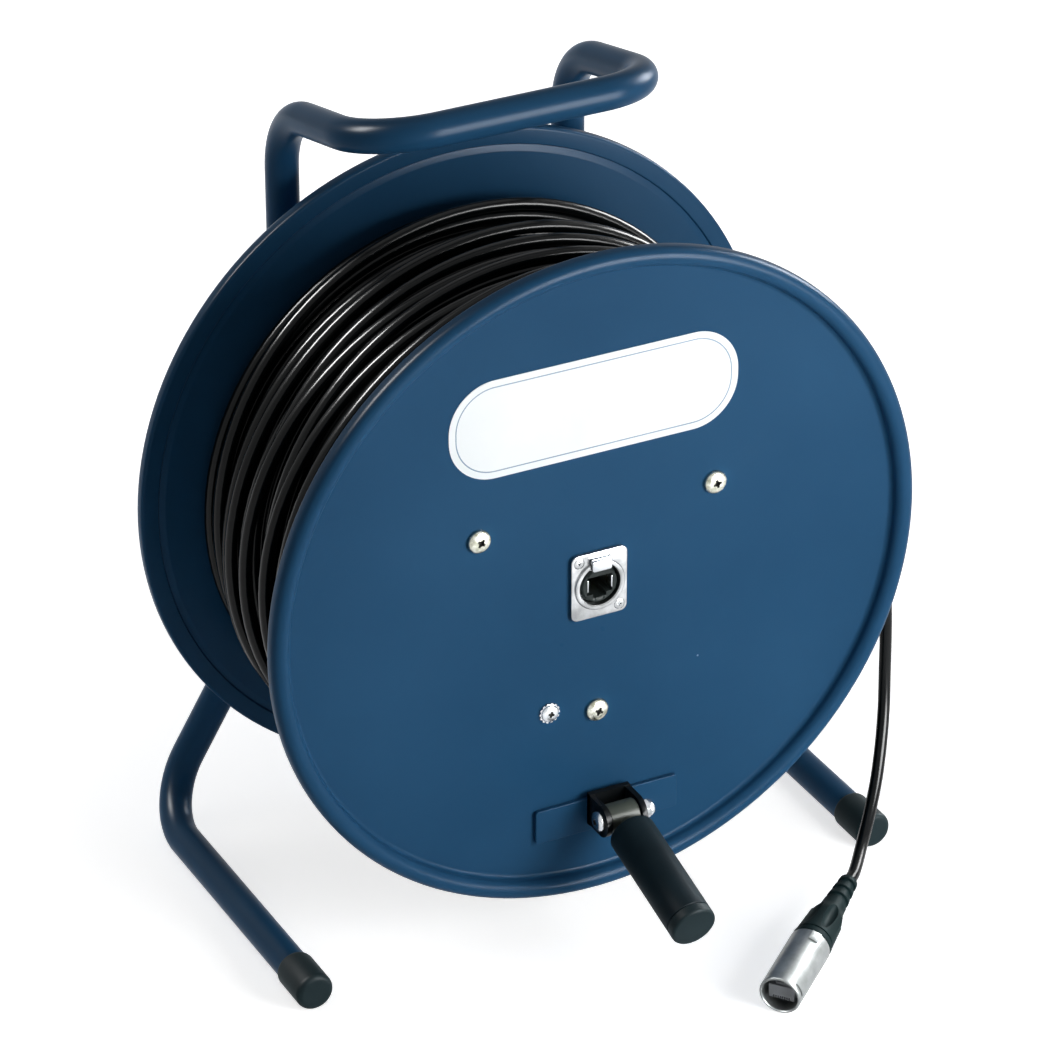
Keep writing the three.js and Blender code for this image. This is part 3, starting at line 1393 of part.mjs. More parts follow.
function buildCrank(drum) {
  const stripFace = -OUTER_FACE - SEAT - STRIP_THICKNESS;
  const strip = slab(
    roundedRectangle(STRIP_WIDTH, STRIP_HEIGHT, STRIP_CORNER),
    stripFace,
    -OUTER_FACE - SEAT,
    2,
  );
  piece("crank_strip", strip.translate(CRANK_X, 0, -STRIP_DROP), bluePaint(), drum);
  const pivot = new THREE.Group();
  pivot.position.set(CRANK_X, -OUTER_FACE - PIVOT_HEIGHT, -PIVOT_DROP);
  drum.add(pivot);
  const baseRear = PIVOT_HEIGHT - SEAT - STRIP_THICKNESS - SEAT;
  const ear = new THREE.Shape();
  ear.moveTo(-baseRear, -EAR_FOOT / 2);
  ear.lineTo(0, -EAR_RADIUS);
  ear.absarc(0, 0, EAR_RADIUS, -Math.PI / 2, Math.PI / 2, false);
  ear.lineTo(-baseRear, EAR_FOOT / 2);
  const earPlate = (middle) =>
    new THREE.ExtrudeGeometry(ear, { depth: EAR_THICKNESS, bevelEnabled: false, curveSegments: 8 })
      .translate(0, 0, -EAR_THICKNESS / 2)
      .applyMatrix4(
        new THREE.Matrix4().makeBasis(
          new THREE.Vector3(0, -1, 0),
          new THREE.Vector3(0, 0, 1),
          new THREE.Vector3(-1, 0, 0),
        ),
      )
      .translate(middle, 0, 0);
  const earMiddle = (EAR_GAP + EAR_THICKNESS) / 2;
  const outerWidth = EAR_GAP + 2 * EAR_THICKNESS;
  const alongX = (radius, from, to, segments) => cylinder(radius, from, to, segments).rotateZ(-Math.PI / 2);
  piece(
    "crank_clevis",
    cut(
      join(
        earPlate(earMiddle),
        earPlate(-earMiddle),
        box(outerWidth, CLEVIS_BASE, EAR_FOOT, 0, baseRear - CLEVIS_BASE / 2, 0),
      ),
      alongX(PIVOT_RADIUS + SEAT, -outerWidth, outerWidth),
    ),
    blackPlastic(),
    pivot,
  );
  const headFace = outerWidth / 2 + SEAT;
  const boltLength = 2 * headFace + PIVOT_NUT;
  const bolt = panScrew(PIVOT_RADIUS, PIVOT_HEAD_RADIUS, PIVOT_HEAD, boltLength).rotateZ(-Math.PI / 2);
  piece("pivot_bolt", bolt.translate(-headFace, 0, 0), zincPlate(), pivot);
  const nutEnd = headFace + PIVOT_NUT;
  const dome = revolve(
    [
      [0, nutEnd - OVERRUN],
      [PIVOT_DOME_RADIUS, nutEnd - OVERRUN],
      ...DOME_SHARES.map(([out, up]) => [PIVOT_DOME_RADIUS * out, nutEnd + PIVOT_DOME * up]),
    ],
    SMALL_ROUND,
  );
  const nut = cut(
    join(hexPrism(PIVOT_NUT_FLATS, headFace, nutEnd), dome).rotateZ(-Math.PI / 2),
    alongX(PIVOT_RADIUS + SEAT, headFace - OVERRUN, nutEnd + SEAT),
  );
  piece("pivot_nut", nut, zincPlate(), pivot);

  const handle = new THREE.Group();
  handle.rotation.x = degrees(CRANK_DROOP);
  pivot.add(handle);
  const knuckleHalf = EAR_GAP / 2 - SEAT;
  const gripEnd = GRIP_END - GRIP_CAP - SEAT;
  const pocketEnd = gripEnd - GRIP_POCKET;
  const spindleEnd = pocketEnd + SEAT + SPINDLE_WASHER + SEAT + SPINDLE_END;
  piece(
    "crank_spindle",
    cut(
      join(
        alongX(KNUCKLE_RADIUS, -knuckleHalf, knuckleHalf, MEDIUM_ROUND / 2),
        cylinder(SPINDLE_RADIUS, 0, -spindleEnd + SPINDLE_END),
        cylinder(SPINDLE_RADIUS - SEAT, -spindleEnd + SPINDLE_END + OVERRUN, -spindleEnd),
      ),
      alongX(PIVOT_RADIUS + GRIP_RUNNING, -EAR_GAP, EAR_GAP),
    ),
    darkPaint(),
    handle,
  );
  const bore = SPINDLE_RADIUS + GRIP_RUNNING;
  const outer = GRIP_DIAMETER / 2;
  piece(
    "grip",
    revolve(
      [
        [bore, -GRIP_START],
        ...arc(outer - GRIP_ROUND, -GRIP_START - GRIP_ROUND, GRIP_ROUND, 90, 0, 2),
        [outer, -gripEnd],
        [GRIP_POCKET_RADIUS, -gripEnd],
        [GRIP_POCKET_RADIUS, -pocketEnd],
        [bore, -pocketEnd],
      ],
      HANDLE_ROUND,
    ),
    blackPlastic(),
    handle,
  );
  piece(
    "grip_cap",
    revolve(
      [
        [0, -gripEnd - SEAT],
        [outer, -gripEnd - SEAT],
        ...arc(outer - GRIP_CAP_ROUND, -GRIP_END + GRIP_CAP_ROUND, GRIP_CAP_ROUND, 0, -90, 3),
        [0, -GRIP_END],
      ],
      HANDLE_ROUND,
    ),
    blackPlastic(),
    handle,
  );
  const washerFrom = -pocketEnd - SEAT;
  piece(
    "spindle_washer",
    ring(SPINDLE_RADIUS + SEAT / 2, SPINDLE_WASHER_RADIUS, washerFrom - SPINDLE_WASHER, washerFrom, SMALL_ROUND),
    zincPlate(),
    handle,
  );
}

const reel = new THREE.Group();
const drum = new THREE.Group();
const stand = new THREE.Group();
reel.add(stand, drum);

buildFlanges(drum);
buildCore(drum);
buildHub(drum);
buildCoil(drum);
buildSocket(drum);
buildLead(drum);
buildCrank(drum);
buildStand(stand);
buildFootCap("foot_cap_left", -1, stand);
buildFootCap("foot_cap_right", 1, stand);
buildAxle(stand);
buildBrake(stand);

// The reel without its tail stands centred over the origin.
const standing = new THREE.Box3().setFromObject(reel, true);
const middle = standing.getCenter(new THREE.Vector3());
reel.position.set(-middle.x, -middle.y, -standing.min.z);
buildTail(stand);
buildPlug(stand);

export default reel;
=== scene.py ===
# A portable data cable drum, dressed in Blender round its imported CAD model.
# Metres, in the CAD model's own frame: the drum's axis lies along Y and the front faces -Y.
import json
import math

import bpy
from mathutils import Matrix, Vector

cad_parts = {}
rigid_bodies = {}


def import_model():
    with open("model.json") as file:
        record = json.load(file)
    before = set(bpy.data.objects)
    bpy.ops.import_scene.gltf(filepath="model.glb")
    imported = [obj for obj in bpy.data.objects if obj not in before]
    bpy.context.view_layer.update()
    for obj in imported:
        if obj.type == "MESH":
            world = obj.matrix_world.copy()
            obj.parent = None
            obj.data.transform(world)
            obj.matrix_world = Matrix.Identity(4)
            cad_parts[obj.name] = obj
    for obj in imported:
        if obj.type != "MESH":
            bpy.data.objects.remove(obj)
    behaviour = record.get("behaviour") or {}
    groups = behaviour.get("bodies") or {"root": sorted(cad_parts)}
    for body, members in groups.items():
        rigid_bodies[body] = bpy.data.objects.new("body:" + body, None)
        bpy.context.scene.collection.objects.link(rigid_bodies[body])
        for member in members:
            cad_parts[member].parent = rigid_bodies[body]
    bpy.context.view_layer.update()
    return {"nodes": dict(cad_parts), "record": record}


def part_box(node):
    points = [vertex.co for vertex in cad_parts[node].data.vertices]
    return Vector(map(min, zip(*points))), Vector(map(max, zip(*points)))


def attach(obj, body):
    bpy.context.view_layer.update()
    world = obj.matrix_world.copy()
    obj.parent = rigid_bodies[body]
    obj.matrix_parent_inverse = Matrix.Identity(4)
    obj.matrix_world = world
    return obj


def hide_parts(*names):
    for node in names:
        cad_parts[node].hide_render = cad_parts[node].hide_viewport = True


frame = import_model()

MM = 0.001
TAU = 2 * math.pi


# The drum's middle and the places that follow from it

FRONT_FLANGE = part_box("front_flange")
REAR_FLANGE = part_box("rear_flange")
FLANGE_RADIUS = (FRONT_FLANGE[1][0] - FRONT_FLANGE[0][0]) / 2
DRUM = Vector((
    0,
    (FRONT_FLANGE[1][1] + REAR_FLANGE[0][1]) / 2,
    (FRONT_FLANGE[0][2] + FRONT_FLANGE[1][2]) / 2,
))
INNER_FACE = (REAR_FLANGE[0][1] - FRONT_FLANGE[1][1]) / 2
SHEET = 1.5 * MM
OUTER_FACE = INNER_FACE + SHEET
SEAT = 0.3 * MM # between pieces that touch or are welded
CABLE = 5.6 * MM
FLOOR = 0.0


# Modelling helpers

def deselect():
    if bpy.context.object and bpy.context.object.mode != "OBJECT":
        bpy.ops.object.mode_set(mode="OBJECT")
    bpy.ops.object.select_all(action="DESELECT")


def activate(obj):
    deselect()
    obj.select_set(True)
    bpy.context.view_layer.objects.active = obj


def started(name):
    """The primitive just added, under its own name."""
    obj = bpy.context.object
    obj.name = name
    obj.data.name = name
    return obj


def apply_all(obj):
    activate(obj)
    bpy.ops.object.transform_apply(location=True, rotation=True, scale=True)


def seat(obj, matrix=None):
    """Moves a piece from the drum's own frame, or from a piece's local frame, to its place."""
    activate(obj)
    obj.matrix_world = Matrix.Translation(DRUM) @ (matrix or Matrix.Identity(4))
    apply_all(obj)
    return obj


def modify(obj, kind, **settings):
    activate(obj)
    modifier = obj.modifiers.new(kind.title(), kind)
    for key, value in settings.items():
        setattr(modifier, key, value)
    bpy.ops.object.modifier_apply(modifier=modifier.name)


def round_edges(obj, width, segments=2, angle=40):
    modify(
        obj, "BEVEL", width=width, segments=segments, limit_method="ANGLE",
        angle_limit=math.radians(angle), harden_normals=False,
    )


def combine(obj, operation, tools):
    """Cuts each tool out of a piece, joins it on or keeps only what both share, and removes the tool."""
    for tool in tools:
        modify(obj, "BOOLEAN", operation=operation, object=tool, solver="EXACT")
        bpy.data.objects.remove(tool)


def carve(obj, *tools):
    combine(obj, "DIFFERENCE", tools)


def weld(obj, *others):
    combine(obj, "UNION", others)


def smooth(obj, angle=35):
    activate(obj)
    bpy.ops.object.shade_smooth_by_angle(angle=math.radians(angle))


def tidy_faces(obj):
    activate(obj)
    bpy.ops.object.mode_set(mode="EDIT")
    bpy.ops.mesh.select_mode(type="VERT")
    bpy.ops.mesh.select_all(action="SELECT")
    bpy.ops.mesh.remove_doubles(threshold=1e-6)
    bpy.ops.mesh.normals_make_consistent(inside=False)
    bpy.ops.object.mode_set(mode="OBJECT")


def turned(name, profile, steps=64):
    """Turns [radius, y] points about Y: the profile starts and ends on the axis, or closes on itself."""
    deselect()
    bpy.ops.mesh.primitive_plane_add(size=1)
    obj = started(name)
    bpy.ops.object.mode_set(mode="EDIT")
    bpy.ops.mesh.select_mode(type="VERT")
    bpy.ops.mesh.select_all(action="SELECT")
    bpy.ops.mesh.merge(type="CENTER")
    bpy.ops.transform.translate(value=(profile[0][0], profile[0][1], 0))
    closed = profile if profile[0][0] == 0 and profile[-1][0] == 0 else [*profile, profile[0]]
    for (r0, y0), (r1, y1) in zip(closed, closed[1:]):
        bpy.ops.mesh.extrude_region_move(TRANSFORM_OT_translate={"value": (r1 - r0, y1 - y0, 0)})
    bpy.ops.mesh.select_all(action="SELECT")
    bpy.ops.mesh.spin(steps=steps, angle=TAU, center=(0, 0, 0), axis=(0, 1, 0))
    bpy.ops.object.mode_set(mode="OBJECT")
    tidy_faces(obj)
    return obj


def arc(radius_at, y_at, radius, start, end, steps):
    """Points of an arc in [radius, y], between two angles in degrees."""
    points = []
    for i in range(steps + 1):
        angle = math.radians(start + (end - start) * i / steps)
        points.append((radius_at + radius * math.cos(angle), y_at + radius * math.sin(angle)))
    return points


def mm(*values):
    """Lengths given in millimetres."""
    return tuple(value * MM for value in values)


def outline(*points, start=0.0):
    """Points of a profile given in millimetres, with y counted from a start."""
    return [(radius * MM, start + y * MM) for radius, y in points]


def rotation(degrees, axis="Y"):
    return Matrix.Rotation(math.radians(degrees), 4, axis)


def block(name, size, centre):
    deselect()
    bpy.ops.mesh.primitive_cube_add(size=1, location=centre)
    obj = started(name)
    obj.scale = size
    apply_all(obj)
    return obj


def moved(obj, matrix):
    """Turns or shifts a piece that is still being made."""
    activate(obj)
    obj.matrix_world = matrix @ obj.matrix_world
    apply_all(obj)
    return obj


def shifted(obj, x=0.0, y=0.0, z=0.0):
    return moved(obj, Matrix.Translation((x, y, z)))


def rod(name, radius, start, end, x=0.0, z=0.0, steps=32):
    """A round bar along Y."""
    deselect()
    bpy.ops.mesh.primitive_cylinder_add(
        vertices=steps, radius=radius, depth=abs(end - start), location=(x, (start + end) / 2, z),
        rotation=(math.pi / 2, 0, 0),
    )
    obj = started(name)
    apply_all(obj)
    return obj


def choose(obj, kind, wanted):
    """Selects the edges or faces that a test picks out, and leaves the piece in edit mode."""
    activate(obj)
    bpy.ops.object.mode_set(mode="EDIT")
    bpy.ops.mesh.select_mode(type=kind)
    bpy.ops.mesh.select_all(action="DESELECT")
    bpy.ops.object.mode_set(mode="OBJECT")
    items = obj.data.edges if kind == "EDGE" else obj.data.polygons
    for item in items:
        item.select = wanted(item)
    bpy.ops.object.mode_set(mode="EDIT")


def plate(name, width, height, corner, back, front, steps=8):
    """A plate in X and Z with round corners, from one Y to another."""
    obj = block(name, (width, abs(front - back), height), (0, (front + back) / 2, 0))

    def lies_along_y(edge):
        a, b = (obj.data.vertices[i].co for i in edge.vertices)
        return abs(a.x - b.x) < 1e-7 and abs(a.z - b.z) < 1e-7

    choose(obj, "EDGE", lies_along_y)
    bpy.ops.mesh.bevel(offset=corner, segments=steps, affect="EDGES")
    bpy.ops.object.mode_set(mode="OBJECT")
    return obj


def tube(name, points, radius, sides=16):
    """A round tube along points, as a mesh with closed ends."""
    curve = bpy.data.curves.new(name, "CURVE")
    curve.dimensions = "3D"
    curve.bevel_depth = radius
    curve.bevel_resolution = sides // 2 - 2
    curve.use_fill_caps = True
    curve.twist_mode = "MINIMUM"
    spline = curve.splines.new("POLY")
    spline.points.add(len(points) - 1)
    for target, point in zip(spline.points, points):
        target.co = (*point, 1)
    obj = bpy.data.objects.new(name, curve)
    bpy.context.collection.objects.link(obj)
    activate(obj)
    bpy.ops.object.convert(target="MESH")
    obj = bpy.context.object
    tidy_faces(obj)
    smooth(obj, 50)
    return obj


BEND_STEP = math.radians(5)
SPAN_STEPS = 6


def bent_path(corners, radii):
    """Rounds each inner corner of a path with an arc of its own radius."""
    points = [corners[0]]
    for before, corner, after, radius in zip(corners, corners[1:], corners[2:], radii):
        back = (before - corner).normalized()
        ahead = (after - corner).normalized()
        half = back.angle(ahead) / 2
        turn = math.pi - 2 * half
        centre = corner + (back + ahead).normalized() * (radius / math.sin(half))
        start = corner + back * (radius / math.tan(half)) - centre
        end = corner + ahead * (radius / math.tan(half)) - centre
        count = math.ceil(turn / BEND_STEP)
        for k in range(count + 1):
            angle = turn * k / count
            points.append(centre + (start * math.sin(turn - angle) + end * math.sin(angle)) / math.sin(turn))
    points.append(corners[-1])
    return points


def through(route):
    """A smooth line through the points of a route, spaced by the root of each chord."""
    knots = [0.0]
    for a, b in zip(route, route[1:]):
        knots.append(knots[-1] + math.sqrt((b - a).length))
    points = []
    for i in range(len(route) - 1):
        p1, p2 = route[i], route[i + 1]
        t1, t2 = knots[i], knots[i + 1]
        p0 = route[i - 1] if i else p1 * 2 - p2
        t0 = knots[i - 1] if i else t1 - (t2 - t1)
        p3 = route[i + 2] if i + 2 < len(route) else p2 * 2 - p1
        t3 = knots[i + 2] if i + 2 < len(route) else t2 + (t2 - t1)
        for k in range(SPAN_STEPS):
            t = t1 + (t2 - t1) * k / SPAN_STEPS
            a1 = p0 * ((t1 - t) / (t1 - t0)) + p1 * ((t - t0) / (t1 - t0))
            a2 = p1 * ((t2 - t) / (t2 - t1)) + p2 * ((t - t1) / (t2 - t1))
            a3 = p2 * ((t3 - t) / (t3 - t2)) + p3 * ((t - t2) / (t3 - t2))
            b1 = a1 * ((t2 - t) / (t2 - t0)) + a2 * ((t - t0) / (t2 - t0))
            b2 = a2 * ((t3 - t) / (t3 - t1)) + a3 * ((t - t1) / (t3 - t1))
            points.append(b1 * ((t2 - t) / (t2 - t1)) + b2 * ((t - t1) / (t2 - t1)))
    points.append(route[-1])
    return points


# Finishes

def linear(red, green, blue):
    """A colour given as it looks on a screen, from 0 to 255."""
    def channel(value):
        share = value / 255
        return share / 12.92 if share <= 0.04045 else ((share + 0.055) / 1.055) ** 2.4
    return (channel(red), channel(green), channel(blue), 1)


def set_inputs(node, values):
    """Gives each input its value, or links it where it gets another node's output."""
    for label, value in values.items():
        if isinstance(value, bpy.types.NodeSocket):
            node.id_data.links.new(value, node.inputs[label])
        else:
            node.inputs[label].default_value = value


def add_node(tree, kind, inputs=None, **settings):
    node = tree.nodes.new("ShaderNode" + kind)
    for key, value in settings.items():
        setattr(node, key, value)
    set_inputs(node, inputs or {})
    return node


def group(name, inputs, outputs):
    """An empty node group whose sockets are named numbers."""
    tree = bpy.data.node_groups.new(name, "ShaderNodeTree")
    for label, default in inputs.items():
        socket = tree.interface.new_socket(label, in_out="INPUT", socket_type="NodeSocketFloat")
        socket.default_value = default
    for label in outputs:
        tree.interface.new_socket(label, in_out="OUTPUT", socket_type="NodeSocketFloat")
    return tree, tree.nodes.new("NodeGroupInput"), tree.nodes.new("NodeGroupOutput")


def grain_group():
    """Fine grain as a height, with a slower mottling as a mask."""
    tree, given, made = group(
        "Grain and mottling", {"Grain Scale": 900.0, "Mottling Scale": 14.0}, ["Height", "Mottling"],
    )
    place = add_node(tree, "TexCoord")
    for socket, scale, detail in (("Height", "Grain Scale", 3), ("Mottling", "Mottling Scale", 5)):
        noise = add_node(tree, "TexNoise", {
            "Vector": place.outputs["Object"], "Scale": given.outputs[scale], "Detail": detail,
        })
        tree.links.new(noise.outputs["Fac"], made.inputs[socket])
    return tree


def speck_group():
    """Sparse specks of dust as a mask: a cell's middle, in the few cells that are chosen."""
    tree, given, made = group("Dust specks", {"Scale": 60.0, "Size": 0.03, "Share": 0.05}, ["Mask"])
    place = add_node(tree, "TexCoord")
    cells = add_node(tree, "TexVoronoi", {"Vector": place.outputs["Object"], "Scale": given.outputs["Scale"]})
    near = add_node(
        tree, "Math", {0: cells.outputs["Distance"], 1: given.outputs["Size"]}, operation="LESS_THAN",
    )
    chosen = add_node(tree, "SeparateColor", {"Color": cells.outputs["Color"]})
    rare = add_node(
        tree, "Math", {0: chosen.outputs["Red"], 1: given.outputs["Share"]}, operation="LESS_THAN",
    )
    both = add_node(tree, "Math", {0: near.outputs[0], 1: rare.outputs[0]}, operation="MULTIPLY")
    tree.links.new(both.outputs[0], made.inputs["Mask"])
    return tree


GRAIN = grain_group()
SPECKS = speck_group()
DARK_END = 0.35 # of the mottling's range
LIGHT_START = 0.65
GRAIN_HEIGHT = 0.2 * MM


def finish(
    name, dark, light, roughness, grain, bump, metallic=0.0, mottling=14.0, spread=0.06, specks=None,
    specular=0.5,
):
    """A finish whose colour drifts between two tones and whose surface has a fine grain."""
    material = bpy.data.materials.new(name)
    material.use_nodes = True
    tree = material.node_tree
    surface = add_node(tree, "Group", {"Grain Scale": grain, "Mottling Scale": mottling}, node_tree=GRAIN)
    patches = surface.outputs["Mottling"]
    tone = add_node(tree, "ValToRGB", {"Fac": patches})
    tone.color_ramp.elements[0].position = DARK_END
    tone.color_ramp.elements[0].color = linear(*dark)
    tone.color_ramp.elements[1].position = LIGHT_START
    tone.color_ramp.elements[1].color = linear(*light)
    colour = tone.outputs["Color"]
    if specks:
        dust = add_node(tree, "Group", node_tree=SPECKS)
        mix = add_node(tree, "Mix", {
            "Factor": dust.outputs["Mask"], "A": colour, "B": linear(*specks),
        }, data_type="RGBA")
        colour = mix.outputs["Result"]
    sheen = add_node(tree, "MapRange", {
        "Value": patches, "To Min": roughness - spread, "To Max": roughness + spread,
    })
    relief = add_node(tree, "Bump", {
        "Height": surface.outputs["Height"], "Strength": bump, "Distance": GRAIN_HEIGHT,
    })
    set_inputs(tree.nodes["Principled BSDF"], {
        "Base Color": colour, "Metallic": metallic, "Roughness": sheen.outputs["Result"],
        "Specular IOR Level": specular, "Normal": relief.outputs["Normal"],
    })
    return material


BLUE_PAINT = finish(
    "Blue paint", (30, 71, 104), (35, 77, 111), roughness=0.3, grain=1400, bump=0.05, specular=0.04,
    mottling=9, specks=(120, 146, 172),
)
DARK_PAINT = finish(
    "Dark paint", (24, 36, 46), (32, 46, 58), roughness=0.4, grain=1400, bump=0.05, specular=0.3,
)
BRIGHT_ZINC = finish(
    "Bright zinc", (174, 178, 182), (212, 215, 218), roughness=0.26, metallic=1.0, grain=2600, bump=0.08,
    mottling=90,
)
YELLOW_ZINC = finish(
    "Yellow zinc", (158, 159, 142), (208, 209, 200), roughness=0.26, metallic=1.0, grain=2600, bump=0.05,
    mottling=420,
)
STEEL = finish(
    "Plain steel", (150, 152, 156), (176, 178, 182), roughness=0.38, metallic=1.0, grain=2000, bump=0.08,
    mottling=60,
)
BRONZE = finish(
    "Bronze", (146, 112, 66), (172, 136, 84), roughness=0.42, metallic=1.0, grain=2200, bump=0.06,
    mottling=60,
)
NICKEL = finish(
    "Satin nickel", (140, 142, 143), (178, 180, 182), roughness=0.25, metallic=1.0, grain=3200, bump=0.06,
    mottling=120,
)
BLACK_PLASTIC = finish(
    "Black plastic", (17, 24, 27), (23, 31, 34), roughness=0.46, grain=2400, bump=0.12, mottling=40,
    specular=0.3,
)
BLACK_STEEL = finish(
    "Black steel", (8, 12, 14), (14, 19, 22), roughness=0.34, grain=1600, bump=0.06, mottling=60,
    specular=0.1,
)
BLACK_RUBBER = finish(
    "Black rubber", (17, 33, 35), (25, 42, 44), roughness=0.5, grain=2600, bump=0.15, mottling=60,
    specular=0.03,
)
CABLE_JACKET = finish(
    "Cable jacket", (2, 5, 7), (5, 9, 11), roughness=0.22, grain=700, bump=0.03, mottling=40, spread=0.04,
    specular=0.13,
)
SOCKET_BLACK = finish(
    "Socket plastic", (34, 40, 40), (44, 52, 51), roughness=0.46, grain=2600, bump=0.08, mottling=90,
    specular=0.08,
)
KNUCKLE_STEEL = finish(
    "Knuckle steel", (66, 72, 66), (82, 88, 80), roughness=0.36, grain=1800, bump=0.06, mottling=80,
    specular=0.12,
)
GRIP_PLASTIC = finish(
    "Grip plastic", (21, 33, 39), (27, 41, 47), roughness=0.5, grain=2400, bump=0.14, mottling=40,
    specular=0.04,
)
CAP_PLASTIC = finish(
    "Cap plastic", (27, 41, 45), (34, 49, 53), roughness=0.5, grain=2400, bump=0.12, mottling=40,
    specular=0.06,
)
SHELL_METAL = finish(
    "Satin shell", (122, 126, 126), (148, 152, 152), roughness=0.36, metallic=0.72, grain=3200, bump=0.08,
    mottling=120,
)
CARRIER_GREY = finish(
    "Connector plastic", (86, 90, 94), (112, 116, 120), roughness=0.5, grain=2600, bump=0.1, mottling=90,
)
# Painted shade: a dark finish laid on the faces inside a cross recess, where shade falls.
PAINTED_RECESS_SHADE = finish(
    "Painted recess shade", (26, 27, 24), (40, 41, 37), roughness=0.55, metallic=0.4, grain=2600, bump=0.08,
    mottling=90,
)
GOLD = finish(
    "Gilt contacts", (190, 152, 70), (214, 180, 96), roughness=0.25, metallic=1.0, grain=2600, bump=0.04,
    mottling=90,
)
LABEL_WHITE = finish(
    "Label film", (232, 238, 240), (240, 244, 246), roughness=0.34, grain=1800, bump=0.02, mottling=20,
    specular=0.3,
)
LABEL_LINE = finish(
    "Label keyline", (104, 134, 160), (120, 148, 172), roughness=0.34, grain=1800, bump=0.02, mottling=20,
)


def dress(obj, body, slot, material, *replaced):
    """A finished piece gets its finish, rides on its body and stands for its CAD nodes."""
    if not obj.data.materials:
        obj.data.materials.append(material)
    if replaced:
        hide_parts(*replaced)
    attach(obj, body)


# Camera

AZIMUTH = math.radians(-27.373)
ELEVATION = math.radians(29.21)
DISTANCE = 2.14606
SHIFT_RIGHT = 0.979 * MM
SHIFT_UP = 5.596 * MM
FOCAL_SHARE = 4902.36 / 1048 # focal length over the picture's width
SENSOR = 36.0


def add_camera():
    back = Vector((
        math.sin(AZIMUTH) * math.cos(ELEVATION),
        -math.cos(AZIMUTH) * math.cos(ELEVATION),
        math.sin(ELEVATION),
    ))
    right = (-back).cross(Vector((0, 0, 1))).normalized()
    up = right.cross(-back)
    place = DRUM + back * DISTANCE - right * SHIFT_RIGHT - up * SHIFT_UP
    data = bpy.data.cameras.new("Camera")
    data.sensor_width = SENSOR
    data.lens = SENSOR * FOCAL_SHARE
    data.clip_start = 0.05
    data.clip_end = 30
    camera = bpy.data.objects.new("Camera", data)
    camera.matrix_world = Matrix.Translation(place) @ Matrix((right, up, back)).transposed().to_4x4()
    bpy.context.collection.objects.link(camera)
    bpy.context.scene.camera = camera


add_camera()


# The free end of the cable, on the route that the CAD model gives it, in millimetres about the drum

TAIL_ROUTE = [
    (131.305, -58, 9.88),
    (134.1, -58, 5.0),
    (138.8, -58, -4.2),
    (143.6, -58, -14.5),
    (147.2, -58, -28.0),
    (149.6, -58, -43.0),
    (150.8, -58.2, -58.5),
    (151.0, -58.8, -74.0),
    (150.0, -60.8, -91.0),
    (147.6, -65.0, -107.0),
    (143.0, -71.2, -121.0),
    (136.6, -78.8, -133.5),
    (128.2, -87.6, -144.2),
    (118.6, -97.6, -151.8),
    (106.19, -111.48, -156.19),
    (101.53, -115.21, -156.77),
]


def add_tail():
    line = [DRUM + point for point in through([Vector(p) * MM for p in TAIL_ROUTE])]
    tail = tube("cable_tail_dressed", line, CABLE / 2, sides=24)
    dress(tail, "stand", "jacket", CABLE_JACKET, "cable_tail")
    length = sum((b - a).length for a, b in zip(line, line[1:]))
    return tail, line, length


TAIL, TAIL_LINE, TAIL_LENGTH = add_tail()


# The cable on the drum

LAYER_LEFT = 3.5 * MM
LAYER_DOWN = 1.5 * MM
LAYER_END = INNER_FACE - CABLE / 2 - 0.8 * MM # middle of the first turn, beside the rear flange
UNDER_RADIUS = 116.4 * MM
OUTER_RADIUS = UNDER_RADIUS + 0.8 * CABLE # the least, where the outer layer sinks between two turns
UNDER_LOOPS = 22
OUTER_LOOPS = 18
UNDER_SWAYS = [(0.1 * MM, 0.31)] # size, and how many to a turn
OUTER_SWAYS = [(2.6 * MM, 0.37), (1.9 * MM, 0.93), (1.3 * MM, 1.61)]
SWAY_SHIFT = 1.7
LEAVE_ANGLE = math.radians(30)
LEAVE_Y = -58 * MM
TURN_STEPS = 96


def helix(loops, end_y, sways, phase):
    """Angle and place along the axis of each step of a wound layer, from the rear flange forwards."""
    count = loops * TURN_STEPS
    steps = []
    for i in range(count + 1):
        turn = i / TURN_STEPS
        ease = min(1.0, turn, loops - turn)
        sway = sum(
            size * math.sin(TAU * rate * turn + phase + SWAY_SHIFT * n)
            for n, (size, rate) in enumerate(sways)
        )
        steps.append((LEAVE_ANGLE - TAU * turn, LAYER_END + (end_y - LAYER_END) * i / count + ease * sway))
    return steps


def stack(steps, below, floor_radius):
    """Radius of each step so that the cable lies on what is already wound, without passing into it."""
    radii = []
    for i, (_, y) in enumerate(steps):
        slot = i % TURN_STEPS
        radius = floor_radius
        for other_y, other_radius in below[slot]:
            apart = abs(y - other_y)
            if apart < CABLE:
                radius = max(radius, other_radius + math.sqrt(CABLE * CABLE - apart * apart))
        radii.append(radius)
        below[slot].append((y, radius))
    return radii


def soften(values, reach, rounds=2):
    """Averages each value with those near it, so that one turn climbs gently over another."""
    for _ in range(rounds):
        near = [values[max(0, i - reach): i + reach + 1] for i in range(len(values))]
        values = [sum(some) / len(some) for some in near]
    return values


def wound_line(steps, radii):
    return [
        Vector((radius * math.cos(angle) - LAYER_LEFT, y, radius * math.sin(angle) - LAYER_DOWN))
        for (angle, y), radius in zip(steps, radii)
    ]


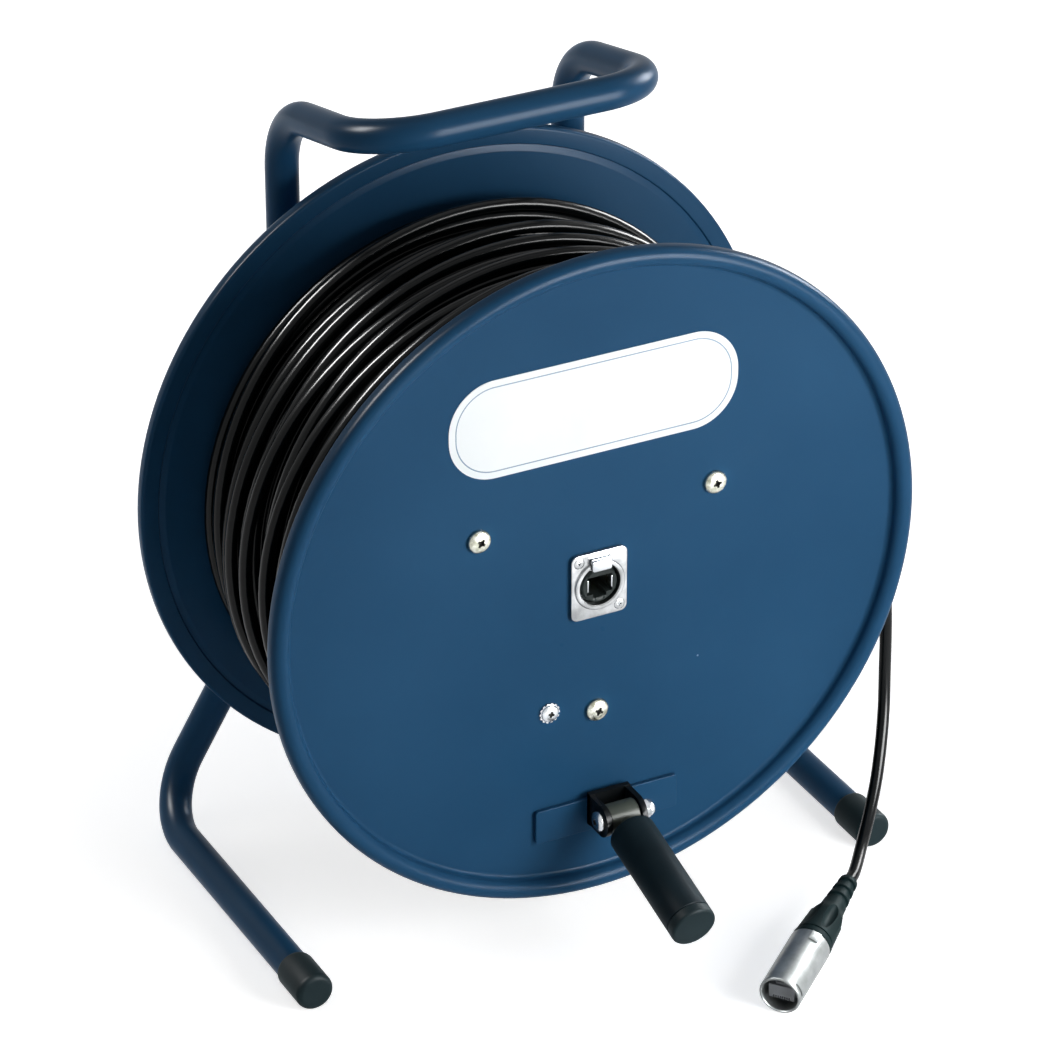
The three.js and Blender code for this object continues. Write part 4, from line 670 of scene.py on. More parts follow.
def add_winding():
    """A plain layer and the outer one over it, whose last steps lead straight into the free end."""
    below = [[] for _ in range(TURN_STEPS)]
    under = helix(UNDER_LOOPS, -LAYER_END, UNDER_SWAYS, 0.4)
    stack(under, below, UNDER_RADIUS)
    line = wound_line(under, [UNDER_RADIUS] * len(under))
    piece = seat(tube("cable_under_layer", line, CABLE / 2, sides=10))
    dress(piece, "drum", "jacket", CABLE_JACKET, "cable_coil")
    outer = helix(OUTER_LOOPS, LEAVE_Y, OUTER_SWAYS, 0.9)
    radii = soften(stack(outer, below, OUTER_RADIUS), reach=4)
    line = wound_line(outer, radii)
    along = Vector((math.sin(LEAVE_ANGLE), 0, -math.cos(LEAVE_ANGLE)))
    tail_start = Vector(TAIL_ROUTE[0]) * MM - along * SEAT
    line = line[:-4] + [line[-5].lerp(tail_start, share) for share in (0.33, 0.66)] + [tail_start]
    piece = seat(tube("cable_outer_layer", line, CABLE / 2, sides=14))
    dress(piece, "drum", "jacket", CABLE_JACKET, "cable_layer")


add_winding()


# Flanges

RIM_WIDTH = 8.5 * MM
RIM_HEIGHT = 8.0 * MM
RIM_FILLET = 2.2 * MM
RIM_EDGE = 1.6 * MM
GROOVE_DEPTH = 0.9 * MM
GROOVE_SLOPE = 2.7 * MM # width of the groove's gentle side, towards the hub
GROOVE_WALL = 0.4 * MM # and of its steep side, towards the rim
HUB_BORE = 17.3 * MM
SOCKET_BORE = 12.1 * MM
SOCKET_Z = -2 * MM
TIE_CIRCLE = 65.5 * MM
TIE_BORE = 3.3 * MM
TIE_BOLTS = [(270, 24), (30, -14), (150, 38)] # place on the circle and turn of the head, in degrees
CLIP_BORE = 2.3 * MM
CLIP_PLACE = mm(-23.2, -60.8)
OVERRUN = 5 * MM # how far a tool reaches past the sheet that it cuts


def tie_place(angle):
    return TIE_CIRCLE * math.cos(math.radians(angle)), TIE_CIRCLE * math.sin(math.radians(angle))


def flange_profile(bore):
    roll = RIM_WIDTH / 2
    groove = FLANGE_RADIUS - RIM_WIDTH
    return [
        (bore, 0),
        (groove - GROOVE_SLOPE - 0.5 * MM, 0),
        (groove - GROOVE_SLOPE, 0.04 * MM),
        (groove - 0.3 * MM, GROOVE_DEPTH - 0.06 * MM),
        (groove, GROOVE_DEPTH),
        (groove + GROOVE_WALL, 0.3 * MM),
        (groove + GROOVE_WALL + 0.3 * MM, 0),
        *arc(FLANGE_RADIUS - RIM_EDGE, RIM_EDGE, RIM_EDGE, -90, 0, 5),
        *arc(FLANGE_RADIUS - roll, RIM_HEIGHT - roll, roll, 0, 180, 16),
        *arc(FLANGE_RADIUS - RIM_WIDTH - RIM_FILLET, SHEET + RIM_FILLET, RIM_FILLET, 0, -90, 6),
        (bore, SHEET),
    ]


def add_flange(name, side, bore, holes):
    """Side is -1 for the front and 1 for the rear. A hole is a radius, a place and perhaps its facets."""
    flange = turned(name + "_dressed", [(r, side * (INNER_FACE + y)) for r, y in flange_profile(bore)], 160)
    inside, outside = side * (INNER_FACE - OVERRUN), side * (OUTER_FACE + OVERRUN)
    carve(flange, *[rod("hole", radius, inside, outside, *place) for radius, *place in holes])
    seat(flange)
    smooth(flange)
    dress(flange, "drum", "blue_paint", BLUE_PAINT, name)


TIE_HOLES = [(TIE_BORE, *tie_place(angle)) for angle, _ in sorted(TIE_BOLTS)]
add_flange("front_flange", -1, 0, [(SOCKET_BORE, 0, SOCKET_Z, 48), *TIE_HOLES, (CLIP_BORE, *CLIP_PLACE)])
add_flange("rear_flange", 1, HUB_BORE, TIE_HOLES)


# Stand

TUBE_RADIUS = 7.5 * MM
STAND_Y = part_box("stand_tube")[1][1] - DRUM.y - TUBE_RADIUS # middle of the uprights' tube
FOOT_X = 140 * MM
FOOT_Z = FLOOR - DRUM.z + 17.5 / 2 * MM # half a foot cap above the floor
FOOT_END = -70.2 * MM
CAP_FRONT = -73.5 * MM
FOOT_FALL = 1.25 * MM # from the cap back to where the bare tube lies on the floor
UPRIGHT_X = 70 * MM
KNEE_Z = -50 * MM
HANDLE_Z = 168.5 * MM
HANDLE_REACH = 92 * MM
HANDLE_RISE = math.radians(13)


def add_stand():
    """One bent tube: its left half from foot to handle, and the same mirrored."""
    handle_y = STAND_Y - HANDLE_REACH * math.cos(HANDLE_RISE)
    left = [
        Vector((-FOOT_X, FOOT_END, FOOT_Z)),
        Vector((-FOOT_X, STAND_Y, FOOT_Z - FOOT_FALL)),
        Vector((-UPRIGHT_X, STAND_Y, KNEE_Z)),
        Vector((-UPRIGHT_X, STAND_Y, HANDLE_Z)),
        Vector((-UPRIGHT_X, handle_y, HANDLE_Z + HANDLE_REACH * math.sin(HANDLE_RISE))),
    ]
    right = [Vector((-p.x, p.y, p.z)) for p in reversed(left)]
    bends = mm(30, 45, 34, 31)
    line = bent_path([*left, *right], [*bends, *reversed(bends)])
    piece = seat(tube("stand_tube_dressed", line, TUBE_RADIUS, sides=40))
    dress(piece, "stand", "blue_paint", BLUE_PAINT, "stand_tube")


add_stand()


# Screws and nuts

ON_FRONT = -OUTER_FACE - SEAT # where a piece lies on the front flange
# Points of a pan head, as shares of its radius and height
PAN_HEAD = [(0.30, 0.99), (0.52, 0.95), (0.72, 0.86), (0.87, 0.70), (0.96, 0.48), (1.0, 0.22)]
CROSS_SLOT = 1.2 * MM
CROSS_REACH = 0.37 # of the head's radius
THREAD_PITCH = 1.0 * MM
THREAD_DEPTH = 0.35 * MM
SCREW_TIP = 0.4 * MM


def pan_screw(name, material, shank, head, height, length, thread=0.0):
    """A screw about Y whose head stands towards -Y with a cross recess, whose inside is painted dark as
    shade.
    """
    profile = [(0, -height), *[(head * out, -height * up) for out, up in PAN_HEAD], (head, 0), (shank, 0)]
    for i in range(int(thread / THREAD_PITCH)):
        y = length - thread + i * THREAD_PITCH
        profile += [(shank, y), (shank - THREAD_DEPTH, y + THREAD_PITCH / 2)]
    profile += [(shank, length - SCREW_TIP), (shank - SCREW_TIP, length), (0, length)]
    screw = turned(name, profile, 40)
    reach = 2 * head * CROSS_REACH
    depth = 1.5 * height
    for size in ((reach, depth, CROSS_SLOT), (CROSS_SLOT, depth, reach)):
        tool = block("recess", size, (0, -height, 0))
        round_edges(tool, 0.12 * MM, 1)
        carve(screw, tool)
    carve(screw, rod("recess_middle", 0.24 * head, -height - MM, -0.2 * height, steps=24))
    smooth(screw, 40)
    screw.data.materials.append(material)
    screw.data.materials.append(PAINTED_RECESS_SHADE)
    # The faces inside the recess get the painted shade.
    for face in screw.data.polygons:
        middle = face.center
        if math.hypot(middle.x, middle.z) < 1.1 * reach / 2 and -0.86 * height < middle.y < 0:
            face.material_index = 1
    return screw


def hex_nut(name, flats, bore, start, end, dome=None):
    """A hexagon nut about Y: a cap nut where it gets its dome's radius and height."""
    corner = flats / math.sqrt(3)
    nut = rod(name, corner, start, end, steps=6)
    corners = turned("corners", [
        (0, start), (flats / 2 * 0.96, start), (corner * 1.02, start + 0.12 * flats),
        (corner * 1.02, end - 0.12 * flats), (flats / 2 * 0.96, end), (0, end),
    ], 48)
    combine(nut, "INTERSECT", [corners])
    bore_end = end + MM
    if dome:
        radius, height = dome
        bore_end = end + SEAT
        angles = [math.radians(6 * k) for k in range(15)]
        weld(nut, turned("dome", [
            (0, end - 0.5 * MM), (radius, end - 0.5 * MM),
            *[(radius * math.cos(a), end + height * math.sin(a)) for a in angles], (0, end + height),
        ], 48))
    carve(nut, rod("bore", bore, start - MM, bore_end, steps=40))
    round_edges(nut, 0.15 * MM, 2, 30)
    smooth(nut, 30)
    return nut


def add_tie_bolts():
    nut_face = OUTER_FACE + SEAT
    length = 2 * OUTER_FACE + 2 * SEAT + 8 * MM
    for i, (angle, turn) in enumerate(TIE_BOLTS, 1):
        x, z = tie_place(angle)
        bolt = pan_screw("tie_bolt_%d_dressed" % i, YELLOW_ZINC, *mm(3, 5.4, 2.6), length, 14 * MM)
        moved(bolt, rotation(turn))
        seat(shifted(bolt, x, ON_FRONT, z))
        dress(bolt, "drum", "yellow_zinc", YELLOW_ZINC, "tie_bolt_%d" % i)
        nut = hex_nut("tie_nut_%d_dressed" % i, 10 * MM, TIE_BORE, nut_face, nut_face + 5 * MM)
        seat(shifted(nut, x, 0, z))
        dress(nut, "drum", "yellow_zinc", YELLOW_ZINC, "tie_nut_%d" % i)


LOCK_WASHER = 0.6 * MM
WASHER_TEETH = 14


def add_clip_screw():
    """The small screw on its toothed lock washer."""
    x, z = CLIP_PLACE
    screw = pan_screw("clip_screw_dressed", BRIGHT_ZINC, *mm(2, 4.1, 1.6), 7 * MM + LOCK_WASHER)
    moved(screw, rotation(17))
    seat(shifted(screw, x, ON_FRONT - LOCK_WASHER, z))
    dress(screw, "drum", "zinc", BRIGHT_ZINC, "clip_screw")
    washer = turned("lock_washer", [
        (2.2 * MM, -LOCK_WASHER), (4.9 * MM, -LOCK_WASHER), *outline((4.9, -0.1), (2.2, -0.1)),
    ], 64)
    for i in range(WASHER_TEETH):
        gap = block("gap", mm(1.0, 3, 1.5), (0, 0, 5.2 * MM))
        carve(washer, moved(gap, Matrix.Rotation(TAU * i / WASHER_TEETH, 4, "Y") @ rotation(14, "Z")))
    smooth(washer, 25)
    seat(shifted(washer, x, ON_FRONT, z))
    dress(washer, "drum", "zinc", BRIGHT_ZINC)


add_tie_bolts()
add_clip_screw()


# Label: bare film with its printed border

LABEL_SIZE = mm(137.3, 46, 21.5) # width, height and corner
LABEL_PLACE = mm(-1.75, 0, 84)
LABEL_MARGIN = 3.0 * MM
KEYLINE = 0.55 * MM


def add_label():
    label = plate("label", *LABEL_SIZE, -OUTER_FACE - 0.05 * MM, -OUTER_FACE - 0.3 * MM, 20)
    label.data.materials.append(LABEL_WHITE)
    label.data.materials.append(LABEL_LINE)
    choose(label, "FACE", lambda face: face.normal.y < -0.9)
    bpy.ops.mesh.inset(thickness=LABEL_MARGIN)
    bpy.ops.mesh.inset(thickness=KEYLINE)
    bpy.ops.mesh.select_more()
    label.active_material_index = 1
    bpy.ops.object.material_slot_assign()
    bpy.ops.mesh.select_less()
    label.active_material_index = 0
    bpy.ops.object.material_slot_assign()
    bpy.ops.object.mode_set(mode="OBJECT")
    seat(shifted(label, *LABEL_PLACE))
    dress(label, "drum", None, LABEL_WHITE)


add_label()


# Panel socket

SOCKET = Matrix.Translation((0, ON_FRONT, SOCKET_Z))
PLATE_FACE = -1.8 * MM
BOSS_FACE = -3.0 * MM
MOUTH = 9.8 * MM
LATCH_MIDDLE = 10.4 * MM
LATCH_FRONT = -6.5 * MM
LATCH_BACK = 4.9 * MM
LATCH_TRAVEL = 1.2 * MM
PLATE_SCREWS = [mm(-9.8, 12.3), mm(9.8, -12.3)]


def latch_cut(extra=0.0):
    back = LATCH_BACK + LATCH_TRAVEL + 0.3 * MM
    size = (10 * MM + extra, back - LATCH_FRONT, 5.8 * MM + extra)
    return block("latch_cut", size, (0, (LATCH_FRONT + back) / 2, LATCH_MIDDLE))


def contact_x(i):
    """Where one of the eight contacts lies across the connector."""
    return (i - 3.5) * 1.02 * MM


def add_socket_housing():
    housing = plate("socket_housing_dressed", *mm(27, 32, 3.2), 0, PLATE_FACE)
    round_edges(housing, 0.45 * MM, 3)
    weld(housing, turned("boss", [
        *outline((0, 0), (11.1, 0), start=BOSS_FACE),
        *arc(11.3 * MM, BOSS_FACE + 0.6 * MM, 0.6 * MM, -90, 0, 5),
        *outline((12.2, -1.75), (12.2, -0.9), (11.8, -0.9), (11.8, 23), (0, 23)),
    ], 72))
    mouth = turned("mouth", [
        (0, BOSS_FACE - MM), (MOUTH + 0.5 * MM, BOSS_FACE - MM), (MOUTH + 0.5 * MM, BOSS_FACE),
        (MOUTH, BOSS_FACE + 0.5 * MM), (MOUTH, 24 * MM), (0, 24 * MM),
    ], 72)
    carve(housing, mouth, latch_cut())
    carve(housing, *[rod("hole", *mm(1.8, -4, 4), x, z) for x, z in PLATE_SCREWS])
    for x, z in PLATE_SCREWS:
        sink = turned("sink", outline((0, -1), (2.5, -1), (2.5, 0.05), (1.7, 0.9), (0, 0.9)), 32)
        carve(housing, shifted(sink, x, PLATE_FACE, z))
    smooth(housing, 32)
    dress(seat(housing, SOCKET), "drum", "zinc", NICKEL, "socket_housing")


def add_socket_insert():
    """A hood stands above the connector's opening, and a slot for the plug's clip lies below it."""
    insert = turned("socket_insert_dressed", [
        *outline((0, 1.0), (8.0, 1.0), (8.4, 1.4), (8.4, 4.5), (9.5, 4.5), start=BOSS_FACE),
        *outline((9.5, 26), (0, 26)),
    ], 64)
    hood = turned("hood", outline(
        (0, 0.4), (7.6, 0.4), (8.0, 0.8), (8.0, 2.0), (0, 2.0), start=BOSS_FACE,
    ), 64)
    carve(hood, block("below", mm(20, 20, 20), (0, 0, -5.2 * MM)))
    weld(insert, hood)
    middle = BOSS_FACE + 8.2 * MM
    cavity = block("cavity", mm(12.2, 16, 8.4), (0, middle, 0))
    clip_slot = block("clip_slot", mm(6.4, 16, 3), (0, middle, -4.5 * MM))
    carve(insert, cavity, clip_slot, latch_cut(0.2 * MM))
    round_edges(insert, 0.15 * MM, 2, 50)
    smooth(insert, 32)
    dress(seat(insert, SOCKET), "drum", "black_plastic", SOCKET_BLACK, "socket_insert")


def add_socket_contacts():
    """Two springs that touch the plug's shield, and eight bent wires."""
    for side in (-1, 1):
        place = (side * 5.75 * MM, BOSS_FACE + 3.3 * MM, 0.2 * MM)
        spring = block("shield_spring", mm(0.55, 5.0, 5.6), place)
        round_edges(spring, 0.2 * MM, 2)
        smooth(spring)
        dress(seat(spring, SOCKET), "drum", "zinc", BRIGHT_ZINC)
    bends = [mm(12, 3.9), mm(5.5, 3.9), mm(4.6, 3.5), mm(10.5, -0.4), mm(12, -0.8)]
    for i in range(8):
        line = [Vector((contact_x(i), y, z)) for y, z in bends]
        wire = tube("contact_%d" % (i + 1), line, 0.18 * MM, 8)
        dress(seat(wire, SOCKET), "drum", None, GOLD)


def add_socket_latch():
    latch = block("socket_latch_dressed", mm(9.4, 3.0, 5.2), (0, -3.0 * MM, LATCH_MIDDLE))
    round_edges(latch, 0.5 * MM, 3)
    weld(latch, block("stem", mm(9.0, 7.6, 2.5), mm(0, 1.1, 9.1)))
    for side in (-1, 1):
        notch = block("notch", mm(1.1, 4, 1.1), mm(0, -4, 0))
        carve(latch, moved(notch, Matrix.Translation(mm(side * 4.6, 0, 7.9)) @ rotation(45)))
    smooth(latch, 32)
    dress(seat(latch, SOCKET), "latch", "zinc", BRIGHT_ZINC, "socket_latch")


def add_socket_screws():
    profile = outline((0, -0.05), (2.1, 0), (2.3, 0.1), (1.5, 0.85), (1.5, 9), (0, 9))
    for i, (x, z) in enumerate(PLATE_SCREWS, 1):
        screw = turned("socket_screw_%d_dressed" % i, profile, 32)
        for size in (mm(1.9, 1.6, 0.6), mm(0.6, 1.6, 1.9)):
            carve(screw, block("slot", size, (0, 0, 0)))
        smooth(screw, 30)
        seat(shifted(screw, x, PLATE_FACE, z), SOCKET)
        dress(screw, "drum", "zinc", NICKEL, "socket_screw_%d" % i)


add_socket_housing()
add_socket_insert()
add_socket_contacts()
add_socket_latch()
add_socket_screws()


# Folding crank

CRANK_X = 4.5 * MM
PIVOT = Matrix.Translation((CRANK_X, -OUTER_FACE - 14.5 * MM, -113.3 * MM))
HANDLE = PIVOT @ rotation(15.7, "X")
ALONG_X = rotation(-90, "Z")
PIN_BORE = 3.3 * MM
EAR_REACH = 11.9 * MM # from the pivot back to the clevis's rear face
EAR_X = 8.75 * MM


def add_crank_mount():
    """A strip on the flange and a clevis of two ears, with the bolt and cap nut that the handle folds on."""
    strip = plate("crank_strip_dressed", *mm(70, 16.5, 1.5), ON_FRONT, ON_FRONT - 2 * MM, 5)
    round_edges(strip, 0.35 * MM, 3)
    smooth(strip)
    seat(shifted(strip, CRANK_X, 0, -117.2 * MM))
    dress(strip, "drum", "blue_paint", BLUE_PAINT, "crank_strip")

    clevis = block("crank_clevis_dressed", mm(20, 2.5, 16), (0, EAR_REACH - 1.25 * MM, 0))
    for side in (-1, 1):
        ear = block("ear", (2.5 * MM, EAR_REACH, 15 * MM), (side * EAR_X, EAR_REACH / 2, 0))
        end = moved(rod("ear_end", *mm(7.5, -1.25, 1.25), steps=64), ALONG_X)
        weld(ear, shifted(end, side * EAR_X))
        weld(clevis, ear)
    carve(clevis, moved(rod("pin_hole", PIN_BORE, *mm(-12, 12)), ALONG_X))
    round_edges(clevis, 0.4 * MM, 2, 50)
    smooth(clevis, 30)
    dress(seat(clevis, PIVOT), "drum", "black_plastic", BLACK_STEEL, "crank_clevis")

    bolt = pan_screw("pivot_bolt_dressed", BRIGHT_ZINC, *mm(3, 4.6, 2.4, 24, 5))
    shifted(moved(bolt, ALONG_X), -10.3 * MM)
    dress(seat(bolt, PIVOT), "drum", "zinc", BRIGHT_ZINC, "pivot_bolt")
    nut = hex_nut("pivot_nut_dressed", 8 * MM, PIN_BORE, *mm(10.3, 13.7), dome=mm(3.9, 3.2))
    dress(seat(moved(nut, ALONG_X), PIVOT), "drum", "zinc", BRIGHT_ZINC, "pivot_nut")


def add_crank_handle():
    """A knuckle with its spindle, the grip that turns on the spindle, and the grip's cap."""
    knuckle = turned("crank_spindle_dressed", outline(
        (0, -7.2), (5.9, -7.2), (6.4, -6.7), (6.4, 6.7), (5.9, 7.2), (0, 7.2),
    ), 64)
    moved(knuckle, ALONG_X)
    weld(knuckle, turned("spindle", outline(
        (0, 0), (4, 0), (4, -58.2), (3.7, -58.2), (3.7, -60), (3.2, -60.4), (0, -60.4),
    ), 40))
    carve(knuckle, moved(rod("pin_hole", PIN_BORE, *mm(-10, 10), steps=40), ALONG_X))
    smooth(knuckle, 32)
    dress(seat(knuckle, HANDLE), "crank", "dark_paint", KNUCKLE_STEEL, "crank_spindle")

    grip = turned("grip_dressed", [
        *outline((4.3, -10)), *arc(*mm(8.7, -11.8, 1.8), 90, 0, 8),
        *outline((10.5, -64.4), (10.2, -64.7), (7.4, -64.7), (7.4, -55.7), (4.3, -55.7)),
    ], 96)
    smooth(grip, 32)
    dress(seat(grip, HANDLE), "grip", "black_plastic", GRIP_PLASTIC, "grip")

    cap = turned("grip_cap_dressed", [
        *outline((0, -65), (10.2, -65), (10.5, -65.3)), *arc(*mm(9.0, -68.5, 1.5), 0, -90, 8), (0, -70 * MM),
    ], 96)
    smooth(cap, 32)
    dress(seat(cap, HANDLE), "grip", "black_plastic", CAP_PLASTIC, "grip_cap")


add_crank_mount()
add_crank_handle()


# Plug on the free end

PLUG_NOSE = Vector((35.7, -168, -165)) * MM
PLUG_TAIL = Vector((101.3, -115.4, -156.8)) * MM
PLUG_LENGTH = (PLUG_TAIL - PLUG_NOSE).length
SHELL_REAR = 36.6 * MM
KEY_TURN = 23 # degrees round the shell
SLIT_TURN = 66
BOOT_START = SHELL_REAR + SEAT
SHOULDER = BOOT_START + 18.6 * MM
NECK_LENGTH = 20 * MM
NECK = PLUG_LENGTH - NECK_LENGTH
NECK_RIBS = 3
RIB_STEP = NECK_LENGTH / 7
FLUTES = 6


def plug_place():
    """The plug's own frame: Y runs from its nose to its tail."""
    along = (PLUG_TAIL - PLUG_NOSE).normalized()
    across = along.cross(Vector((0, 0, 1))).normalized()
    return Matrix.Translation(PLUG_NOSE) @ Matrix((across, along, across.cross(along))).transposed().to_4x4()


PLUG = plug_place()


def add_plug_shell():
    shell = turned("plug_shell_dressed", [
        *outline((8.2, 0.4), (8.5, 0), (8.9, 0)), *arc(*mm(8.7, 0.8, 0.8), -90, 0, 6),
        *outline((9.5, -0.5), (9.0, 0), (8.2, 0), start=SHELL_REAR),
    ], 96)
    slit = block("slit", mm(6.4, 1.1, 5), mm(0, 2.7, 9.6))
    carve(shell, moved(slit, rotation(SLIT_TURN)))
    key = block("key", mm(4.6, 5.6, 2.0), (0, SHELL_REAR - 3.6 * MM, 9.2 * MM))
    round_edges(key, 0.3 * MM, 2)
    weld(shell, moved(key, rotation(KEY_TURN)))
    smooth(shell, 32)
    dress(seat(shell, PLUG), "stand", "zinc", SHELL_METAL, "plug_shell")


def add_plug_carrier():
    """The connector inside the shell, with a groove for each contact."""
    carrier = rod("plug_carrier_dressed", *mm(7.9, 12, 28), steps=64)
    body = block("jack", mm(11.6, 10.5, 7), mm(0, 7.75, 0))
    tongue = block("tongue", mm(6, 9.5, 1.6), mm(0, 8.25, 3.9))
    grooves = [block("groove", mm(0.55, 8, 2.2), (contact_x(i), 4 * MM, -3.2 * MM)) for i in range(8)]
    carve(body, *grooves)
    weld(carrier, body, tongue)
    smooth(carrier, 30)
    dress(seat(carrier, PLUG), "stand", "black_plastic", CARRIER_GREY, "plug_carrier")


def neck_radius(y):
    """Of the ribbed neck, which is 11.2 mm across at first and 8.4 mm at its end."""
    return (11.2 * MM + (8.4 - 11.2) * MM * (y - NECK) / NECK_LENGTH) / 2


def boot_profile():
    """Collar and ring, a slight taper to the shoulder, a soft fall to the neck, the ribs and the bore."""
    profile = outline(
        (7.9, 0), (8.9, 0), (9.3, 0.4), (9.3, 2.6), (9.0, 2.9), (8.5, 3.1), (8.5, 3.6), (9.0, 3.8),
        start=BOOT_START,
    )
    for k in range(9):
        fall = 1.0 * MM * k / 8
        profile.append((9.0 * MM - fall, BOOT_START + 4 * MM + (SHOULDER - BOOT_START - 4 * MM) * k / 8))
    profile.append((7.5 * MM, SHOULDER + 0.5 * MM))
    for k in range(1, 9):
        full = (1 + math.cos(math.pi * (k / 8) ** 0.9)) / 2
        profile.append((5.6 * MM + 1.9 * MM * full, SHOULDER + 0.5 * MM + (NECK - SHOULDER - MM) * k / 8))
    for i in range(NECK_RIBS):
        y = NECK + RIB_STEP * (2 * i + 1)
        end = y + RIB_STEP
        near, far = neck_radius(y), neck_radius(end)
        profile += [
            (near, y - 0.3 * MM), (near - 0.3 * MM, y), (near - 0.9 * MM, y + 0.2 * MM),
            (far - 0.9 * MM, end - 0.2 * MM), (far - 0.3 * MM, end), (far, end + 0.3 * MM),
        ]
    profile += outline((4.2, -0.4), (3.8, 0), (0, 0), (0, -3), start=PLUG_LENGTH)
    return [*profile, (2.8 * MM, NECK), (4.9 * MM, BOOT_START + 4 * MM)]


def add_plug_boot():
    boot = turned("plug_boot_dressed", boot_profile(), 96)
    for i in range(FLUTES):
        bpy.ops.mesh.primitive_uv_sphere_add(segments=32, ring_count=24, radius=1)
        tool = started("flute")
        tool.scale = mm(3.4, 12, 3.4)
        apply_all(tool)
        moved(tool, Matrix.Translation((0, BOOT_START + 15.4 * MM, 9.5 * MM)) @ rotation(-7, "X"))
        carve(boot, moved(tool, Matrix.Rotation(TAU * (i + 0.5) / FLUTES, 4, "Y")))
    smooth(boot, 28)
    dress(seat(boot, PLUG), "stand", "black_rubber", BLACK_RUBBER, "plug_boot")


add_plug_shell()
add_plug_carrier()
add_plug_boot()


# Feet

def add_foot_caps():
    profile = [
        *outline((0, 0), (5.4, 0)), *arc(*mm(6.0, 2.7, 2.7), -90, 0, 10),
        *outline((8.7, 20.4), (8.5, 21.4), (8.1, 22), (7.9, 22), (7.9, 3), (0, 3)),
    ]
    for name, side in (("foot_cap_left", -1), ("foot_cap_right", 1)):
        cap = turned(name + "_dressed", profile, 64)
        smooth(cap, 32)
        seat(shifted(cap, side * FOOT_X, CAP_FRONT, FOOT_Z))
        dress(cap, "stand", "black_plastic", CAP_PLASTIC, name)


add_foot_caps()


# Hub channel, axle nut and brake behind the drum

CHANNEL_WIDTH = 124.4 * MM
CHANNEL_FRONT = STAND_Y - 2 * MM
CHANNEL_BACK = STAND_Y + 12 * MM
AXLE_BORE = 8.3 * MM
STUD_BORE = 4.3 * MM
STUD_X = 42 * MM
SCALLOPS = 6
SCALLOP_CIRCLE = 21.6 * MM


def add_hub_channel():
    """A channel that is open to the rear, with a weld bead on each end of its two walls."""
    depth = CHANNEL_BACK - CHANNEL_FRONT
    middle = (CHANNEL_FRONT + CHANNEL_BACK) / 2
    channel = block("hub_channel_dressed", (CHANNEL_WIDTH, depth, 60 * MM), (0, middle, 0))
    round_edges(channel, 0.6 * MM, 3)
    inside = block("inside", (CHANNEL_WIDTH + 8 * MM, 14 * MM, 52 * MM), (0, CHANNEL_FRONT + 11 * MM, 0))
    through_web = (CHANNEL_FRONT - MM, CHANNEL_FRONT + 6 * MM)
    carve(
        channel, inside, rod("axle_hole", AXLE_BORE, *through_web, steps=40),
        rod("stud_hole", STUD_BORE, *through_web, STUD_X),
    )
    smooth(channel, 30)
    dress(seat(channel), "stand", "blue_paint", BLUE_PAINT, "hub_channel")
    for side in (-1, 1):
        for z in (-1, 1):
            line = []
            for i in range(25):
                height = z * (29 - i * 0.9) * MM
                x = side * (62.0 + 0.12 * math.sin(i * 2.1)) * MM
                line.append(Vector((x, CHANNEL_FRONT + 0.2 * MM, height)))
            bead = tube("weld_bead", line, 1.5 * MM, 12)
            dress(seat(bead), "stand", "blue_paint", BLUE_PAINT)


def add_axle_nut():
    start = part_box("axle_nut")[0][1] - DRUM.y
    nut = hex_nut("axle_nut_dressed", 24 * MM, AXLE_BORE, start, start + 11 * MM)
    dress(seat(nut), "stand", "zinc", BRIGHT_ZINC, "axle_nut")
    washer = turned("axle_nut_washer_dressed", outline(
        (8.3, -2.1), (14.7, -2.1), (15, -1.8), (15, -0.6), (14.7, -0.3), (8.3, -0.3), start=start,
    ), 64)
    smooth(washer, 32)
    dress(seat(washer), "stand", "zinc", BRIGHT_ZINC, "axle_nut_washer")


def add_brake():
    """A knob with a collar at its front and scallops round its edge."""
    low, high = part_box("brake_knob")
    front = low[1] - DRUM.y
    rear = high[1] - DRUM.y
    knob = turned("brake_knob_dressed", [
        *outline((0, 0), (9, 0), (9, 4), (15.4, 4), (16.4, 5), start=front),
        *arc(14.4 * MM, rear - 2 * MM, 2 * MM, 0, 90, 6), (0, rear),
    ], 96)
    for i in range(SCALLOPS):
        angle = TAU * (i + 0.5) / SCALLOPS
        x, z = SCALLOP_CIRCLE * math.cos(angle), SCALLOP_CIRCLE * math.sin(angle)
        carve(knob, rod("scallop", 8 * MM, front + 3 * MM, rear + 2 * MM, x, z, 48))
    carve(knob, rod("bore", STUD_BORE, front - MM, front + 13 * MM))
    round_edges(knob, 0.8 * MM, 3, 45)
    smooth(knob, 32)
    seat(shifted(knob, STUD_X))
    dress(knob, "brake_knob", "black_plastic", CAP_PLASTIC, "brake_knob")


add_hub_channel()
add_axle_nut()
add_brake()


# Floor and light

def seen_group():
    """One where a ray from the camera, a reflection or a transmission arrives, else nought."""
    tree, _, made = group("Seen directly", {}, ["Seen"])
    path = add_node(tree, "LightPath")
    seen = path.outputs["Is Camera Ray"]
    for ray in ("Is Glossy Ray", "Is Transmission Ray"):
        either = add_node(tree, "Math", {0: seen, 1: path.outputs[ray]}, operation="MAXIMUM")
        seen = either.outputs[0]
    tree.links.new(seen, made.inputs["Seen"])
    return tree


